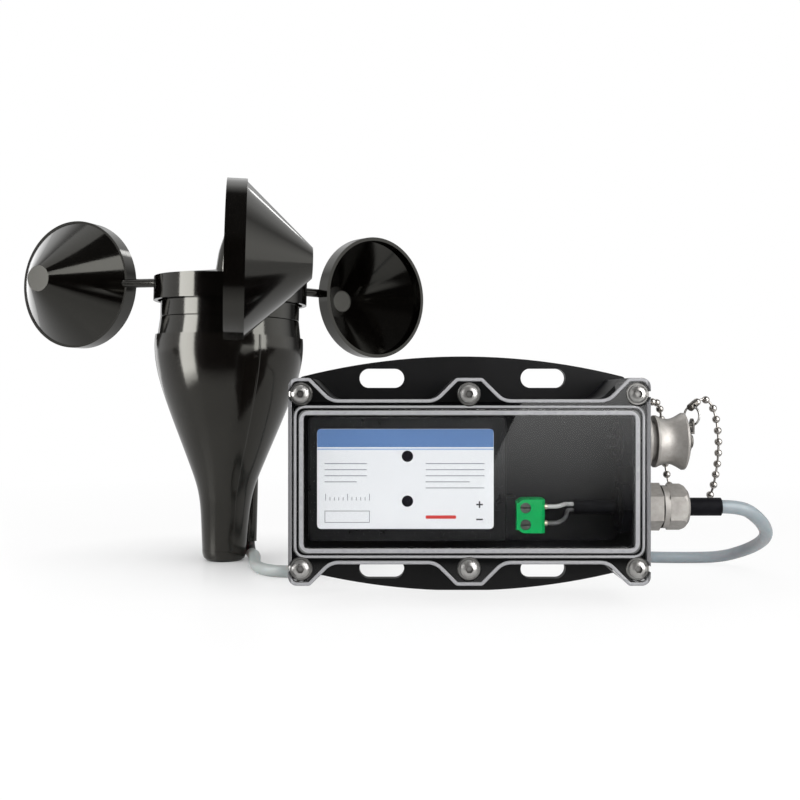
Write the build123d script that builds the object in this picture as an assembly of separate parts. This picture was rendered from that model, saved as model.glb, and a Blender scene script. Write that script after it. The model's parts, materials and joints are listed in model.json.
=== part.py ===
from build123d import *
import os
from math import atan, atan2, cos, degrees, hypot, radians, sin, tan

os.makedirs("parts", exist_ok=True)

# Cup anemometer wired to its weatherproof recording box. Lengths in millimetres.
# The origin is the mouth of the mast socket, under the sensor head.
# +X runs from the head to the box, -Y is the side the box's window faces, +Z is up.

# ---------------------------------------------------------------- sensor head: driving dimensions
head_lean = 1.5            # degrees the head stands off upright, its top towards +X
cup_count = 3
first_arm_angle = 278.2    # degrees round the axis from +X
cup_centre_r = 69.5        # cup centre from the axis: 190 mm swept over the cups
cup_mouth_r = 25.5
cup_wall = 1.4
cup_rim_width = 6.3        # straight band round the mouth
cup_rim_step = 0.9         # the cone starts this much inside the band
cup_cone_depth = 21.1
cup_tip_r = 5.0            # flat disc at the cone's end
cup_mouth_back = 0.5       # mouth plane behind the plane of the axis
arm_rod_r = 1.7
arm_ahead = 5.0            # rods lie ahead of the plane of the axis, on the cone side

hub_rim_r = 28.95
hub_skin = 1.6
hub_cone_rise = 3.6
nose_base_r = 6.2
nose_rise = 18.8
shaft_boss_r = 5.2

body_r = 26.2              # upper collar of the housing
body_flare = 0.8           # lower collar widens by this much downwards
collar_groove = 0.35
body_skin = 2.0
spigot_r = 25.9            # part of the housing that the boot grips
spigot_low_h = 76.0        # heights are above the socket mouth, along the head's axis
spigot_height = 9.3
lower_collar = 6.5
upper_collar = 11.2
boot_rim_h = spigot_low_h + spigot_height          # top edge of the boot
collar_split_h = boot_rim_h + lower_collar         # line between the two collars
body_top_h = collar_split_h + upper_collar
hub_rim_low = body_top_h - 4.8
hub_rim_high = body_top_h + 4.1
rotor_plane_h = body_top_h + 3.1                   # cup centres

plate_skin = 2.5           # thickness of the terminal plate's flange
plate_plug = 3.0           # how far the plate plugs up into the housing
plate_slack = 0.05
mast_bore_r = 6.45
mast_depth = 38.0
stem_wall = 1.0
stem_gusset = 1.6

boot_gap = 0.05            # boot over the spigot and stem
boot_lip_h = 1.0
boot_outline = [           # radius, height, from the lip to the rim
    (8.40, 4.4),
    (8.75, 10.0),
    (9.25, 17.5),
    (10.50, 26.2),
    (13.60, 35.5),
    (16.70, 43.4),
    (23.60, 61.2),
    (27.00, spigot_low_h - 3.5),
    (28.00, spigot_low_h + 3.5),
    (27.90, boot_rim_h),
]
boot_wall = 1.9            # wall of the wide part
boot_neck_wall = 1.15
duct_x = 8.35              # cable duct moulded beside the neck
duct_y = 6.9
duct_r = 3.0
mouth_gap = 0.15           # round the cable where it turns into the duct
duct_low_h = 6.6
duct_high_h = 34.0

shaft_r = 2.38
shaft_low_h = spigot_low_h + 0.8
shaft_top_h = body_top_h + 3.5
bearing_fit = 0.05         # radial running clearance of shaft and cable passages
bearing_r = 4.5
bearing_length = 6.0
clip_r = 4.2
clip_skin = 0.8
end_play = 0.4
magnet_r = 12.5
magnet_length = 13.0
magnet_over_plate = 2.6
magnet_low_h = spigot_low_h + plate_plug + magnet_over_plate
magnet_air_gap = 0.7

pole_skin = 2.2            # iron of the pole piece
pole_height = 5.0
pole_half_span = 9.8
pole_out_y = 19.3
pole_leg_low_y = 10.5
bobbin_flange_r = 4.2
bobbin_core_r = 3.25
bobbin_flange = 0.9
winding_r = 4.0

stud_r = 2.0
stud_fit = 0.02
stud_length = 12.0
stud_ring_r = 14.5
stud_angles = (6.0, 76.0)
nut_across = 7.0
nut_height = 3.0
lug_skin = 0.8
lug_r = 4.0
lug_reach = 5.8            # from the stud to the barrel that grips the lead
lug_barrel_r = 1.3
lug_barrel = 4.0
lead_r = 0.75
lead_spacing = 1.9
set_screw_r = 2.0
set_screw_h = 10.0
set_screw_angle = 150.0

# ---------------------------------------------------------------- cable: driving dimensions
cable_r = 2.1
sleeve_r = 2.8
sleeve_out = 10.2          # sleeve past the gland's nut
cable_end_h = 11.0         # jacket ends this high inside the duct

# ---------------------------------------------------------------- recording box: driving dimensions
box_centre_x = 87.6
box_back_y = -60.5
box_half_w = 52.5
lobe_half_h = 30.1         # half height over the six screw lobes
waist_half_h = 23.9        # half height between the lobes
box_corner_r = 2.6
mid_lobe_half_w = 3.8
end_lobe_w = 6.3
lobe_convex_r = 1.2
lobe_concave_r = 5.0
base_depth = 27.5
lid_depth = 10.0
wall = 2.5
floor_skin = 3.0
cavity_corner_r = 3.0
flange_skin = 3.5
flange_half_h = 37.7       # crest of the flange's arc
flange_end_half_h = 31.0
flange_corner_r = 1.5
slot_x = 26.0
slot_z = 30.7
slot_length = 14.5
slot_r = 3.1

lid_front_skin = 2.2
lid_clearance = 0.3
bead_height = 0.5
bead_width = 1.0
outer_rib_half_w = 50.85
outer_rib_half_h = 22.1
outer_rib_width = 0.8
inner_rib_half_w = 49.4
inner_rib_half_h = 20.7
inner_rib_width = 1.45
inner_rib_height = 0.8
gasket_width = 1.0
gasket_deep = 1.6
gasket_squash = 0.7
lid_slack = 0.6            # lid's inner face outside the cavity's edge

screw_x = 49.0
screw_z = 25.4
screw_r = 1.7
screw_hole_r = 1.9
screw_head_r = 2.6
screw_head_h = 1.8
screw_recess_af = 2.0
screw_length = 19.0        # under the head
washer_r = 3.4
washer_skin = 0.7
counterbore_r = 3.6
counterbore_depth = 1.6
insert_r = 2.4
insert_length = 6.6
insert_cover = 0.3         # moulding between an insert and the gasket's groove
screw_fit = 0.05

module_left = -47.3
module_right = 11.5
module_z = 0.3
module_half_h = 18.45
module_skin = 1.4
module_back_d = 11.5       # depth from the back face of the box
module_split_d = 20.0
module_front_d = 29.5
module_corner_r = 1.5
pad_skin = 1.0
rail_w = 4.0
rail_half_h = 14.0
rail_xs = (-40.0, 3.0)
label_half_w = 26.15
label_half_h = 14.8
label_x = -18.5
label_skin = 0.2
label_corner_r = 1.2
lens_x = -17.9
lens_zs = (7.0, -6.3)
lens_r = 1.7
board_skin = 1.6
board_half_h = 16.5
battery_r = 7.2
battery_length = 25.0
battery_z = -9.2

header_z = -10.9
header_half_h = 5.7
header_out = 2.8           # how far the header stands out of the module
plug_half_h = 5.0
plug_tongue = 3.6
plug_right = 23.0
plug_back_d = 20.5
plug_front_d = 29.0
clamp_pitch = 5.0
clamp_x = 17.2
clamp_r = 1.6
clamp_lobe_r = 2.5
ferrule_r = 0.9
ferrule_length = 5.5
wire_r = 0.65
wire_depth = 24.5
inner_jacket_x = 33.4      # where the cable's jacket ends inside the box

fitting_d = 17.0           # depth of both side fittings' axes from the back face
gland_z = -9.3
port_z = 10.9
panel_r = 6.0              # M12 holes in the side wall
panel_fit = 0.05
inner_stub = 6.2
locknut_across = 15.0
locknut_skin = 2.8
gland_across = 12.8
gland_washer_skin = 0.8
gland_body_end = 7.5
gland_thread_r = 5.4
gland_nut_start = 7.9
gland_nut_rim = 1.7
gland_nut_rim_r = 6.6
gland_nut_across = 12.4
gland_nut_end = 16.2
gland_nut_dome = 2.6
seal_start = 8.4
seal_end = 12.4
slip_ring_skin = 0.4

port_flange_across = 14.0
port_flange_skin = 3.0
port_end = 13.0
port_recess_r = 4.5
port_recess_depth = 6.0
pin_r = 0.5
pin_ring_r = 2.2
pin_count = 4
anchor_skin = 0.8
anchor_r = 8.3
anchor_ear = 11.0

cap_start = 5.6
cap_end = 16.0
cap_rim_r = 8.05
cap_waist_r = 7.0
cap_flange_r = 8.8
cap_fit = 0.07
cap_depth = 8.0
cap_flat_r = 4.2
cap_dome = 1.3
cap_gasket_skin = 0.5
swivel_gap = 0.1
swivel_skin = 0.6
swivel_r = 3.6
swivel_ear = 5.0           # hole in the ear from the cap's axis
swivel_step = 1.2          # the ear stands this far out from the washer
ear_r = 2.1
ear_hole_r = 1.2
rivet_r = 1.2
rivet_head_r = 2.2
rivet_head_h = 0.9
ring_wire_r = 0.35
ring_r = 2.9
ring_turn = 34.0           # degrees the ring's plane leaves the washer's plane

chain_r = 1.2
clasp_r = 1.2
clasp_length = 3.2
clasp_eye_r = 0.65
clasp_eye_at = 1.1         # from the clasp's lower end
clasp_rise = 30.0          # degrees the clasp points up from level

# ---------------------------------------------------------------- shared places
lip_r = mast_bore_r + 0.15
ground_z = -lip_r * sin(radians(head_lean))      # the surface that everything stands on
head = Rot(0, head_lean, 0)
box_centre_z = ground_z + flange_half_h
box = Plane(
    origin=(box_centre_x, box_back_y, box_centre_z), x_dir=(1, 0, 0), z_dir=(0, -1, 0)
).location
box_depth = base_depth + lid_depth
cavity_half_w = box_half_w - wall
cavity_half_h = waist_half_h - wall
screw_places = [
    (sx * screw_x, sz * screw_z) for sx in (-1, 0, 1) for sz in (-1, 1)
]


# A frame on the box's right wall: local Z points out of the box, local X points up.
def side_frame(z):
    return box * Plane(
        origin=(box_half_w, z, fitting_d), x_dir=(0, 1, 0), z_dir=(1, 0, 0)
    ).location


gland_frame = side_frame(gland_z)
port_frame = side_frame(port_z)


# ---------------------------------------------------------------- helpers
def rod(radius, low, high):
    return Pos(0, 0, low) * Cylinder(
        radius, high - low, align=(Align.CENTER, Align.CENTER, Align.MIN)
    )


def ring(outer, inner, low, high):
    return rod(outer, low, high) - rod(inner, low, high)


def hexagon(across, low, high):
    outline = RegularPolygon(across / 2, 6, major_radius=False)
    return Pos(0, 0, low) * extrude(outline, amount=high - low)


def slab(half_w, half_h, corner_r, low, high):
    outline = RectangleRounded(2 * half_w, 2 * half_h, corner_r)
    return Pos(0, 0, low) * extrude(outline, amount=high - low)


def frame_slab(half_w, half_h, corner_r, width, low, high):
    inner_r = max(corner_r - width, 0.4)
    whole = slab(half_w, half_h, corner_r, low, high)
    return whole - slab(half_w - width, half_h - width, inner_r, low, high)


# Turns a closed outline of (radius, height) points round the Z axis.
def turned(points):
    outline = Polyline(*[(r, 0, h) for r, h in points], close=True)
    return revolve(make_face(outline), Axis.Z)


# A round bar along straight runs joined by arcs as large as the runs allow.
def bar_along(points, radius, name):
    stops = [Vector(*p) for p in points]
    runs = [b - a for a, b in zip(stops, stops[1:])]
    radii = []
    for before, after in zip(runs, runs[1:]):
        half_turn = radians(before.get_angle(after)) / 2
        radii.append(0.45 * min(before.length, after.length) / tan(half_turn))
    path = FilletPolyline(*stops, radius=radii)
    start = Plane(origin=path @ 0, z_dir=path % 0)
    bar = sweep(start * Circle(radius), path=path)
    print(name, "length", round(path.length, 1), "smallest bend", round(min(radii), 1))
    return bar


# ---------------------------------------------------------------- rotor
def arm_frame(index):
    angle = radians(first_arm_angle + index * 360 / cup_count)
    return head * Plane(
        origin=(0, 0, rotor_plane_h),
        x_dir=(cos(angle), sin(angle), 0),
        z_dir=(-sin(angle), cos(angle), 0),
    ).location


cup_place = Pos(cup_centre_r, 0, -cup_mouth_back)
cone_mouth_r = cup_mouth_r - cup_rim_step
cup_depth = cup_rim_width + cup_cone_depth


def cup_outside():
    return turned([
        (0, 0),
        (cup_mouth_r, 0),
        (cup_mouth_r, cup_rim_width),
        (cone_mouth_r, cup_rim_width),
        (cup_tip_r, cup_depth),
        (0, cup_depth),
    ])


# The wall keeps its thickness over the cone, and the band's inside runs straight into it.
def cup_inside():
    slope = (cone_mouth_r - cup_tip_r) / cup_cone_depth
    along = hypot(1, slope)
    bottom = cup_depth - cup_wall
    bottom_r = cup_tip_r + slope * cup_wall - along * cup_wall
    mouth_r = cup_mouth_r - cup_wall
    meet = bottom - (mouth_r - bottom_r) / slope
    return turned([(0, 0), (mouth_r, 0), (mouth_r, meet), (bottom_r, bottom), (0, bottom)])


def cup(index):
    return arm_frame(index) * cup_place * (cup_outside() - cup_inside())


def nose():
    tip = rotor_plane_h + (hub_rim_high - rotor_plane_h) + hub_cone_rise + nose_rise
    base = hub_rim_high + hub_cone_rise - 0.6
    side = Spline(
        (nose_base_r, 0, base),
        (nose_base_r * 0.80, 0, base + nose_rise * 0.42),
        (nose_base_r * 0.48, 0, base + nose_rise * 0.80),
        (0, 0, tip),
        tangents=((-0.25, 0, 1), (-1, 0, 0)),
    )
    outline = side + Polyline((0, 0, tip), (0, 0, base), (nose_base_r, 0, base))
    return revolve(make_face(outline), Axis.Z)


def rotor_hub():
    inner_r = hub_rim_r - hub_skin
    ceiling = hub_rim_high - hub_skin
    crown = hub_rim_high + hub_cone_rise
    bell = turned([
        (0, crown),
        (nose_base_r, crown),
        (hub_rim_r, hub_rim_high),
        (hub_rim_r, hub_rim_low),
        (inner_r, hub_rim_low),
        (inner_r, ceiling),
        (shaft_boss_r, ceiling + hub_cone_rise * 0.6),
        (shaft_boss_r, body_top_h + 1.4),
        (0, body_top_h + 1.4),
    ])
    hub = head * (bell + nose() - rod(shaft_r, shaft_low_h, shaft_top_h))
    rod_end = cup_centre_r - cone_mouth_r + arm_rod_r / 2
    rod_start = hub_rim_r - hub_skin * 2
    arm = Rot(0, 90, 0) * rod(arm_rod_r, rod_start, rod_end)
    arm += Pos(rod_end, 0, 0) * Sphere(arm_rod_r)
    arm = Pos(0, 0, arm_ahead) * arm
    keep_out = head * rod(inner_r, hub_rim_low - 1, ceiling)
    for index in range(cup_count):
        place = arm_frame(index)
        hub += place * arm - place * cup_place * cup_outside() - keep_out
    return hub


def rotor_shaft():
    return head * rod(shaft_r, shaft_low_h, shaft_top_h)


def ring_magnet():
    top = magnet_low_h + magnet_length
    magnet = ring(magnet_r, shaft_r, magnet_low_h, top)
    return head * chamfer(magnet.edges().filter_by(GeomType.CIRCLE).group_by(SortBy.RADIUS)[-1], 0.6)


def shaft_clip():
    top = body_top_h - bearing_length - end_play
    return head * ring(clip_r, shaft_r, top - clip_skin, top)


# ---------------------------------------------------------------- housing and what is in it
def housing():
    flare_r = body_r + body_flare
    inner_r = spigot_r - body_skin
    groove_r = body_r - collar_groove
    shell = turned([
        (bearing_r, body_top_h),
        (body_r - 1.2, body_top_h),
        (body_r, body_top_h - 1.2),
        (body_r, collar_split_h + collar_groove),
        (groove_r, collar_split_h),
        (body_r, collar_split_h),
        (flare_r, boot_rim_h),
        (spigot_r, boot_rim_h),
        (spigot_r, spigot_low_h),
        (inner_r, spigot_low_h),
        (inner_r, body_top_h - body_skin),
        (bearing_r + 2.0, body_top_h - body_skin),
        (bearing_r + 2.0, body_top_h - bearing_length),
        (bearing_r, body_top_h - bearing_length),
    ])
    return head * shell


def upper_bearing():
    inner_r = shaft_r + bearing_fit
    return head * ring(bearing_r, inner_r, body_top_h - bearing_length, body_top_h)


def lower_bearing():
    plate_top = spigot_low_h + plate_plug
    inner_r = shaft_r + bearing_fit
    low = shaft_low_h - end_play
    return head * ring(bearing_r, inner_r, low, plate_top)


def post_places():
    legs = pole_half_span - pole_skin / 2
    return [(side * legs, pole_out_y - pole_skin / 2) for side in (-1, 1)]


# Terminal plate with the mast socket's stem under it, in one moulding.
def mast_stem():
    plate_low = spigot_low_h - plate_skin
    plate_top = spigot_low_h + plate_plug
    inner_r = spigot_r - body_skin - plate_slack
    stem_r = mast_bore_r + stem_wall
    chamfer_r = stem_wall - 0.15
    moulding = turned([
        (0, mast_depth),
        (mast_bore_r, mast_depth),
        (mast_bore_r, 0),
        (stem_r - chamfer_r, 0),
        (stem_r, chamfer_r),
        (stem_r, plate_low),
        (spigot_r, plate_low),
        (spigot_r, spigot_low_h),
        (inner_r, spigot_low_h),
        (inner_r, plate_top),
        (0, plate_top),
    ])
    reach = stem_r + 9.0
    for angle in range(0, 360, 90):
        web = Polyline(
            (stem_r - 0.5, 0, plate_low - 12), (reach, 0, plate_low), (stem_r - 0.5, 0, plate_low),
            close=True,
        )
        gusset = extrude(make_face(web), amount=stem_gusset / 2, both=True)
        moulding += Rot(0, 0, angle + 40) * gusset
    moulding -= rod(bearing_r, shaft_low_h - end_play, plate_top)
    for x, y in post_places():
        moulding += Pos(x, y, 0) * rod(pole_skin / 2, plate_top, pole_low_h())
    for x, y in stud_places():
        moulding -= Pos(x, y, 0) * rod(stud_r + stud_fit, plate_low, plate_top)
    moulding -= set_screw_axis() * rod(set_screw_r, 0, mast_bore_r + stem_wall + 3)
    return head * moulding


def magnet_middle_h():
    return magnet_low_h + magnet_length / 2


def pole_low_h():
    return magnet_middle_h() - pole_height / 2


# A U of iron that carries the magnet's flux through the coil.
def pole_piece():
    outer = Pos(0, (pole_out_y + pole_leg_low_y) / 2) * Rectangle(
        2 * pole_half_span, pole_out_y - pole_leg_low_y
    )
    window = Pos(0, (pole_out_y - pole_skin + pole_leg_low_y) / 2 - 1) * Rectangle(
        2 * (pole_half_span - pole_skin), pole_out_y - pole_skin - pole_leg_low_y + 2
    )
    iron = outer - window - Circle(magnet_r + magnet_air_gap)
    return head * Pos(0, 0, pole_low_h()) * extrude(iron, amount=pole_height)


def bobbin_frame():
    return head * Pos(0, pole_out_y - pole_skin / 2, magnet_middle_h()) * Rot(0, 90, 0)


def bobbin_half():
    return pole_half_span - pole_skin - 0.1


def coil_bobbin():
    half = bobbin_half()
    spool = rod(bobbin_core_r, -half, half)
    spool += rod(bobbin_flange_r, -half, -half + bobbin_flange)
    spool += rod(bobbin_flange_r, half - bobbin_flange, half)
    spool -= Box(pole_height + 0.1, pole_skin + 0.1, 2 * half)
    return bobbin_frame() * spool


def coil_winding():
    half = bobbin_half() - bobbin_flange
    return bobbin_frame() * ring(winding_r, bobbin_core_r, -half, half)


def stud_places():
    return [
        (stud_ring_r * cos(radians(a)), stud_ring_r * sin(radians(a))) for a in stud_angles
    ]


def stud_low_h():
    return spigot_low_h - plate_skin - stud_length


def at_studs(piece):
    return head * Compound(children=[Pos(x, y, 0) * piece for x, y in stud_places()])


def terminal_studs():
    top = spigot_low_h + plate_plug
    stud = rod(stud_r, stud_low_h(), top) + rod(stud_r + 1.2, top, top + 1.2)
    return at_studs(stud)


def lug_high_h():
    return spigot_low_h - plate_skin - 1.5


# Where each lug's barrel stands, on the side of its stud that faces the cable duct.
def barrel_places():
    places = []
    for angle, (x, y) in zip(stud_angles, stud_places()):
        side = 1 if angle < degrees(atan(duct_y / duct_x)) else -1
        turn = radians(angle + side * 90)
        places.append((x + lug_reach * cos(turn), y + lug_reach * sin(turn)))
    return places


def ring_lugs():
    top = lug_high_h()
    low = top - lug_skin
    lugs = []
    for (x, y), (bx, by) in zip(stud_places(), barrel_places()):
        tongue = Pos(x, y) * Circle(lug_r)
        turn = degrees(atan2(by - y, bx - x))
        tongue += Pos((x + bx) / 2, (y + by) / 2) * SlotCenterToCenter(
            lug_reach, 2 * lug_barrel_r, rotation=turn
        )
        lug = Pos(0, 0, low) * extrude(tongue, amount=lug_skin)
        lug -= Pos(x, y, 0) * rod(stud_r + bearing_fit, low, top)
        lug += Pos(bx, by, 0) * ring(lug_barrel_r, lead_r, low - lug_barrel, low)
        lugs.append(lug)
    return head * Compound(children=lugs)


def terminal_nuts():
    top = lug_high_h() - lug_skin
    nut = hexagon(nut_across, top - nut_height, top) - rod(stud_r, top - nut_height, top)
    return at_studs(nut)


# ---------------------------------------------------------------- boot
def boot_skin(outline, lip_r_out, top):
    side = Spline(*[(r, 0, h) for r, h in outline])
    first = outline[0]
    lip = ThreePointArc(
        (lip_r_out, 0, boot_lip_h),
        ((lip_r_out + first[0]) / 2 + 0.16, 0, (boot_lip_h + first[1]) / 2 - 0.3),
        (first[0], 0, first[1]),
    )
    close = Polyline(
        (outline[-1][0], 0, outline[-1][1]), (0, 0, top), (0, 0, boot_lip_h),
        (lip_r_out, 0, boot_lip_h),
    )
    return revolve(make_face(lip + side + close), Axis.Z)


def boot():
    stem_r = mast_bore_r + stem_wall + boot_gap
    grip_r = spigot_r + boot_gap
    outside = boot_skin(boot_outline, stem_r + 0.25, boot_outline[-1][1])
    outside += Pos(duct_x, duct_y, 0) * rod(duct_r, duct_low_h, duct_high_h)
    narrow = boot_outline[2:5]
    wide = boot_outline[5:7]
    hollow = [(0, boot_lip_h - 1), (stem_r, boot_lip_h - 1), (stem_r, narrow[0][1])]
    hollow += [(max(r - boot_neck_wall - 0.1, stem_r), h) for r, h in narrow]
    hollow += [(r - boot_wall, h) for r, h in wide]
    hollow += [(grip_r - 0.8, spigot_low_h - plate_skin - 2.0)]
    hollow += [(grip_r, spigot_low_h - plate_skin - 0.5), (grip_r, boot_rim_h + 1)]
    hollow += [(0, boot_rim_h + 1)]
    skin = outside - turned(hollow)
    duct_bore = cable_r + bearing_fit
    skin -= Pos(duct_x, duct_y, 0) * rod(duct_bore, 0, duct_high_h + 6)
    mouth = Cone(duct_bore + 0.6, duct_bore, 1.2, align=(Align.CENTER, Align.CENTER, Align.MIN))
    skin -= Pos(duct_x, duct_y, duct_low_h) * mouth
    skin -= set_screw_axis() * rod(set_screw_r + 0.3, 0, boot_outline[2][0] + 2)
    return head * skin - bar_along(cable_route[-3:], cable_r + mouth_gap, "duct mouth")


def set_screw_axis():
    return Pos(0, 0, set_screw_h) * Rot(0, 0, set_screw_angle) * Rot(0, 90, 0)


def mast_set_screw():
    inner = mast_bore_r + 0.15
    outer = boot_outline[1][0] - 0.1
    screw = rod(set_screw_r, inner, outer) - hexagon(set_screw_r, outer - 1.2, outer)
    return head * set_screw_axis() * screw


# ---------------------------------------------------------------- cable
# Route of the free cable, from the sleeve at the box to the duct beside the head's neck.
cable_route = [
    (166.5, -77.5, 28.227),
    (173.2, -77.5, 28.227),
    (179.2, -74.0, 24.6),
    (185.0, -65.0, 20.0),
    (190.4, -51.0, 15.6),
    (194.0, -36.0, 11.4),
    (194.0, -22.5, 7.0),
    (187.6, -12.4, 2.9),
    (176.0, -9.0, 1.93),
    (160.0, -7.8, 1.93),
    (141.0, -1.5, 1.93),
    (120.0, 8.0, 1.93),
    (97.0, 14.0, 1.93),
    (75.0, 14.5, 1.93),
    (56.5, 7.0, 1.93),
    (46.0, -7.5, 1.93),
    (43.8, -22.0, 1.93),
    (41.0, -32.0, 1.93),
    (36.0, -38.2, 1.93),
    (29.5, -41.0, 1.93),
    (23.2, -39.4, 1.93),
    (18.6, -34.2, 1.93),
    (15.6, -26.2, 1.93),
    (13.7, -14.5, 1.93),
    (12.5, -3.0, 1.93),
    (8.51, 6.9, 1.93),
    (8.635, 6.9, 10.778),
]


def sensor_cable():
    return bar_along(cable_route, cable_r, "cable")


# The same cable where the gland and the sleeve hold it, up to its cut end in the box.
def cable_in_gland():
    return gland_frame * rod(
        cable_r, inner_jacket_x - box_half_w, gland_nut_end + sleeve_out
    )


def cable_sleeve():
    start = seal_end + 0.6
    return gland_frame * ring(sleeve_r, cable_r, start, gland_nut_end + sleeve_out)


def sensor_leads():
    leads = []
    duct_angle = atan(duct_y / duct_x)
    top = lug_high_h() - lug_skin
    for (x, y), side in zip(barrel_places(), (-1, 1)):
        start_x = duct_x - side * lead_spacing / 2 * sin(duct_angle)
        start_y = duct_y + side * lead_spacing / 2 * cos(duct_angle)
        route = [
            (start_x, start_y, cable_end_h + 0.05),
            (start_x, start_y, duct_high_h + 3.5),
            (x, y, top - lug_barrel - 9.0),
            (x, y, top),
        ]
        leads.append(bar_along(route, lead_r, "lead"))
    return head * Compound(children=leads)


# ---------------------------------------------------------------- recording box
# Half of the outline from the middle of the top to the right, mirrored to all four quarters.
def box_outline():
    drop = lobe_half_h - waist_half_h
    end_start = box_half_w - end_lobe_w
    quarter = [
        (mid_lobe_half_w, lobe_half_h),
        (mid_lobe_half_w + drop, waist_half_h),
        (end_start - drop, waist_half_h),
        (end_start, lobe_half_h),
        (box_half_w, lobe_half_h),
    ]
    right = quarter + [(x, -z) for x, z in reversed(quarter)]
    left = [(-x, -z) for x, z in right]
    face = make_face(Polyline(*(right + left), close=True))
    face = fillet(corners_at(face, box_half_w, lobe_half_h), box_corner_r)
    for x in (end_start, mid_lobe_half_w):
        face = fillet(corners_at(face, x, lobe_half_h), lobe_convex_r)
    for x in (end_start - drop, mid_lobe_half_w + drop):
        face = fillet(corners_at(face, x, waist_half_h), lobe_concave_r)
    return face


def corners_at(face, x, z):
    return [
        c for c in face.vertices()
        if abs(abs(c.X) - x) < 0.01 and abs(abs(c.Y) - z) < 0.01
    ]


def outline_slab(low, high):
    return Pos(0, 0, low) * extrude(box_outline(), amount=high - low)


def flange():
    half_w = box_half_w
    top = ThreePointArc(
        (-half_w, flange_end_half_h), (0, flange_half_h), (half_w, flange_end_half_h)
    )
    low = ThreePointArc(
        (half_w, -flange_end_half_h), (0, -flange_half_h), (-half_w, -flange_end_half_h)
    )
    right = Line((half_w, flange_end_half_h), (half_w, -flange_end_half_h))
    left = Line((-half_w, -flange_end_half_h), (-half_w, flange_end_half_h))
    face = make_face(top + right + low + left)
    face = fillet(face.vertices(), flange_corner_r)
    for sx in (-1, 1):
        for sz in (-1, 1):
            face -= Pos(sx * slot_x, sz * slot_z) * SlotOverall(slot_length, 2 * slot_r)
    return extrude(face, amount=flange_skin)


def at_screws(piece):
    return Compound(children=[Pos(x, z, 0) * piece for x, z in screw_places])


def gasket_half():
    return cavity_half_w + wall / 2 + gasket_width / 2, cavity_half_h + wall / 2 + gasket_width / 2


def gasket_ring(low, high, slack):
    half_w, half_h = gasket_half()
    return frame_slab(
        half_w - slack, half_h - slack, cavity_corner_r, gasket_width - 2 * slack, low, high
    )


def insert_top_d():
    return base_depth - gasket_deep - insert_cover


def box_base():
    base = outline_slab(0, base_depth) + flange()
    base -= slab(cavity_half_w, cavity_half_h, cavity_corner_r, floor_skin, base_depth)
    base -= gasket_ring(base_depth - gasket_deep, base_depth, 0)
    for x in rail_xs:
        rail = Pos(x, module_z, 0) * slab(
            rail_w / 2, rail_half_h, 0.8, floor_skin, module_back_d - pad_skin
        )
        base += rail
    for x, z in screw_places:
        base -= Pos(x, z, 0) * rod(insert_r, insert_top_d() - insert_length, insert_top_d())
        base -= Pos(x, z, 0) * rod(screw_hole_r, screw_tip_d() - 1, base_depth)
    for z in (gland_z, port_z):
        hole = Pos(box_half_w, z, fitting_d) * Rot(0, 90, 0) * rod(panel_r, -wall - 1, 1)
        base -= hole
    return box * base


def head_seat_d():
    return box_depth - bead_height - counterbore_depth + washer_skin


def screw_tip_d():
    return head_seat_d() - screw_length


def clear_lid():
    front = box_depth - bead_height
    lid = outline_slab(base_depth, front)
    bead = extrude(box_outline(), amount=bead_height)
    bead -= extrude(offset(box_outline(), amount=-bead_width), amount=bead_height)
    lid += Pos(0, 0, front) * bead
    lid += frame_slab(
        outer_rib_half_w, outer_rib_half_h, cavity_corner_r, outer_rib_width, front, box_depth
    )
    lid += frame_slab(
        inner_rib_half_w, inner_rib_half_h, cavity_corner_r - outer_rib_width, inner_rib_width,
        front, front + inner_rib_height,
    )
    lid += gasket_ring(base_depth - gasket_deep + gasket_squash, base_depth, 0.1)
    lid -= slab(
        cavity_half_w - lid_slack, cavity_half_h - lid_slack, cavity_corner_r,
        base_depth, front - lid_front_skin,
    )
    for x, z in screw_places:
        lid -= Pos(x, z, 0) * rod(screw_hole_r, base_depth, box_depth + 1)
        lid -= Pos(x, z, 0) * rod(counterbore_r, front - counterbore_depth, box_depth + 1)
    return box * lid


def lid_gasket():
    return box * gasket_ring(
        base_depth - gasket_deep, base_depth - gasket_deep + gasket_squash, 0
    )


def lid_washers():
    low = box_depth - bead_height - counterbore_depth
    washer = ring(washer_r, screw_r + screw_fit, low, low + washer_skin)
    rims = washer.edges().filter_by(GeomType.CIRCLE).group_by(Axis.Z)[-1]
    outer = rims.sort_by(SortBy.RADIUS)[-1]
    return box * at_screws(chamfer(outer, 0.3))


def lid_screws():
    seat = head_seat_d()
    crown = ThreePointArc(
        (0, 0, seat + screw_head_h),
        (screw_head_r * 0.66, 0, seat + screw_head_h * 0.82),
        (screw_head_r, 0, seat + screw_head_h * 0.35),
    )
    rest = Polyline(
        (screw_head_r, 0, seat + screw_head_h * 0.35), (screw_head_r, 0, seat),
        (screw_r, 0, seat), (screw_r, 0, screw_tip_d() + 0.6),
        (screw_r - 0.6, 0, screw_tip_d()), (0, 0, screw_tip_d()), (0, 0, seat + screw_head_h),
    )
    screw = revolve(make_face(crown + rest), Axis.Z)
    screw -= hexagon(screw_recess_af, seat + screw_head_h - 1.2, seat + screw_head_h + 1)
    return box * at_screws(screw)


def screw_inserts():
    insert = ring(
        insert_r, screw_r + screw_fit, insert_top_d() - insert_length, insert_top_d()
    )
    return box * at_screws(insert)


# ---------------------------------------------------------------- recorder module
module_x = (module_left + module_right) / 2
module_half_w = (module_right - module_left) / 2


def module_shell(low, high, skin_at_low):
    shell = slab(module_half_w, module_half_h, module_corner_r, low, high)
    inner_low = low + module_skin if skin_at_low else low
    inner_high = high if skin_at_low else high - module_skin
    hollow = slab(
        module_half_w - module_skin, module_half_h - module_skin, 0.6, inner_low, inner_high
    )
    return Pos(module_x, module_z, 0) * (shell - hollow)


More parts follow.
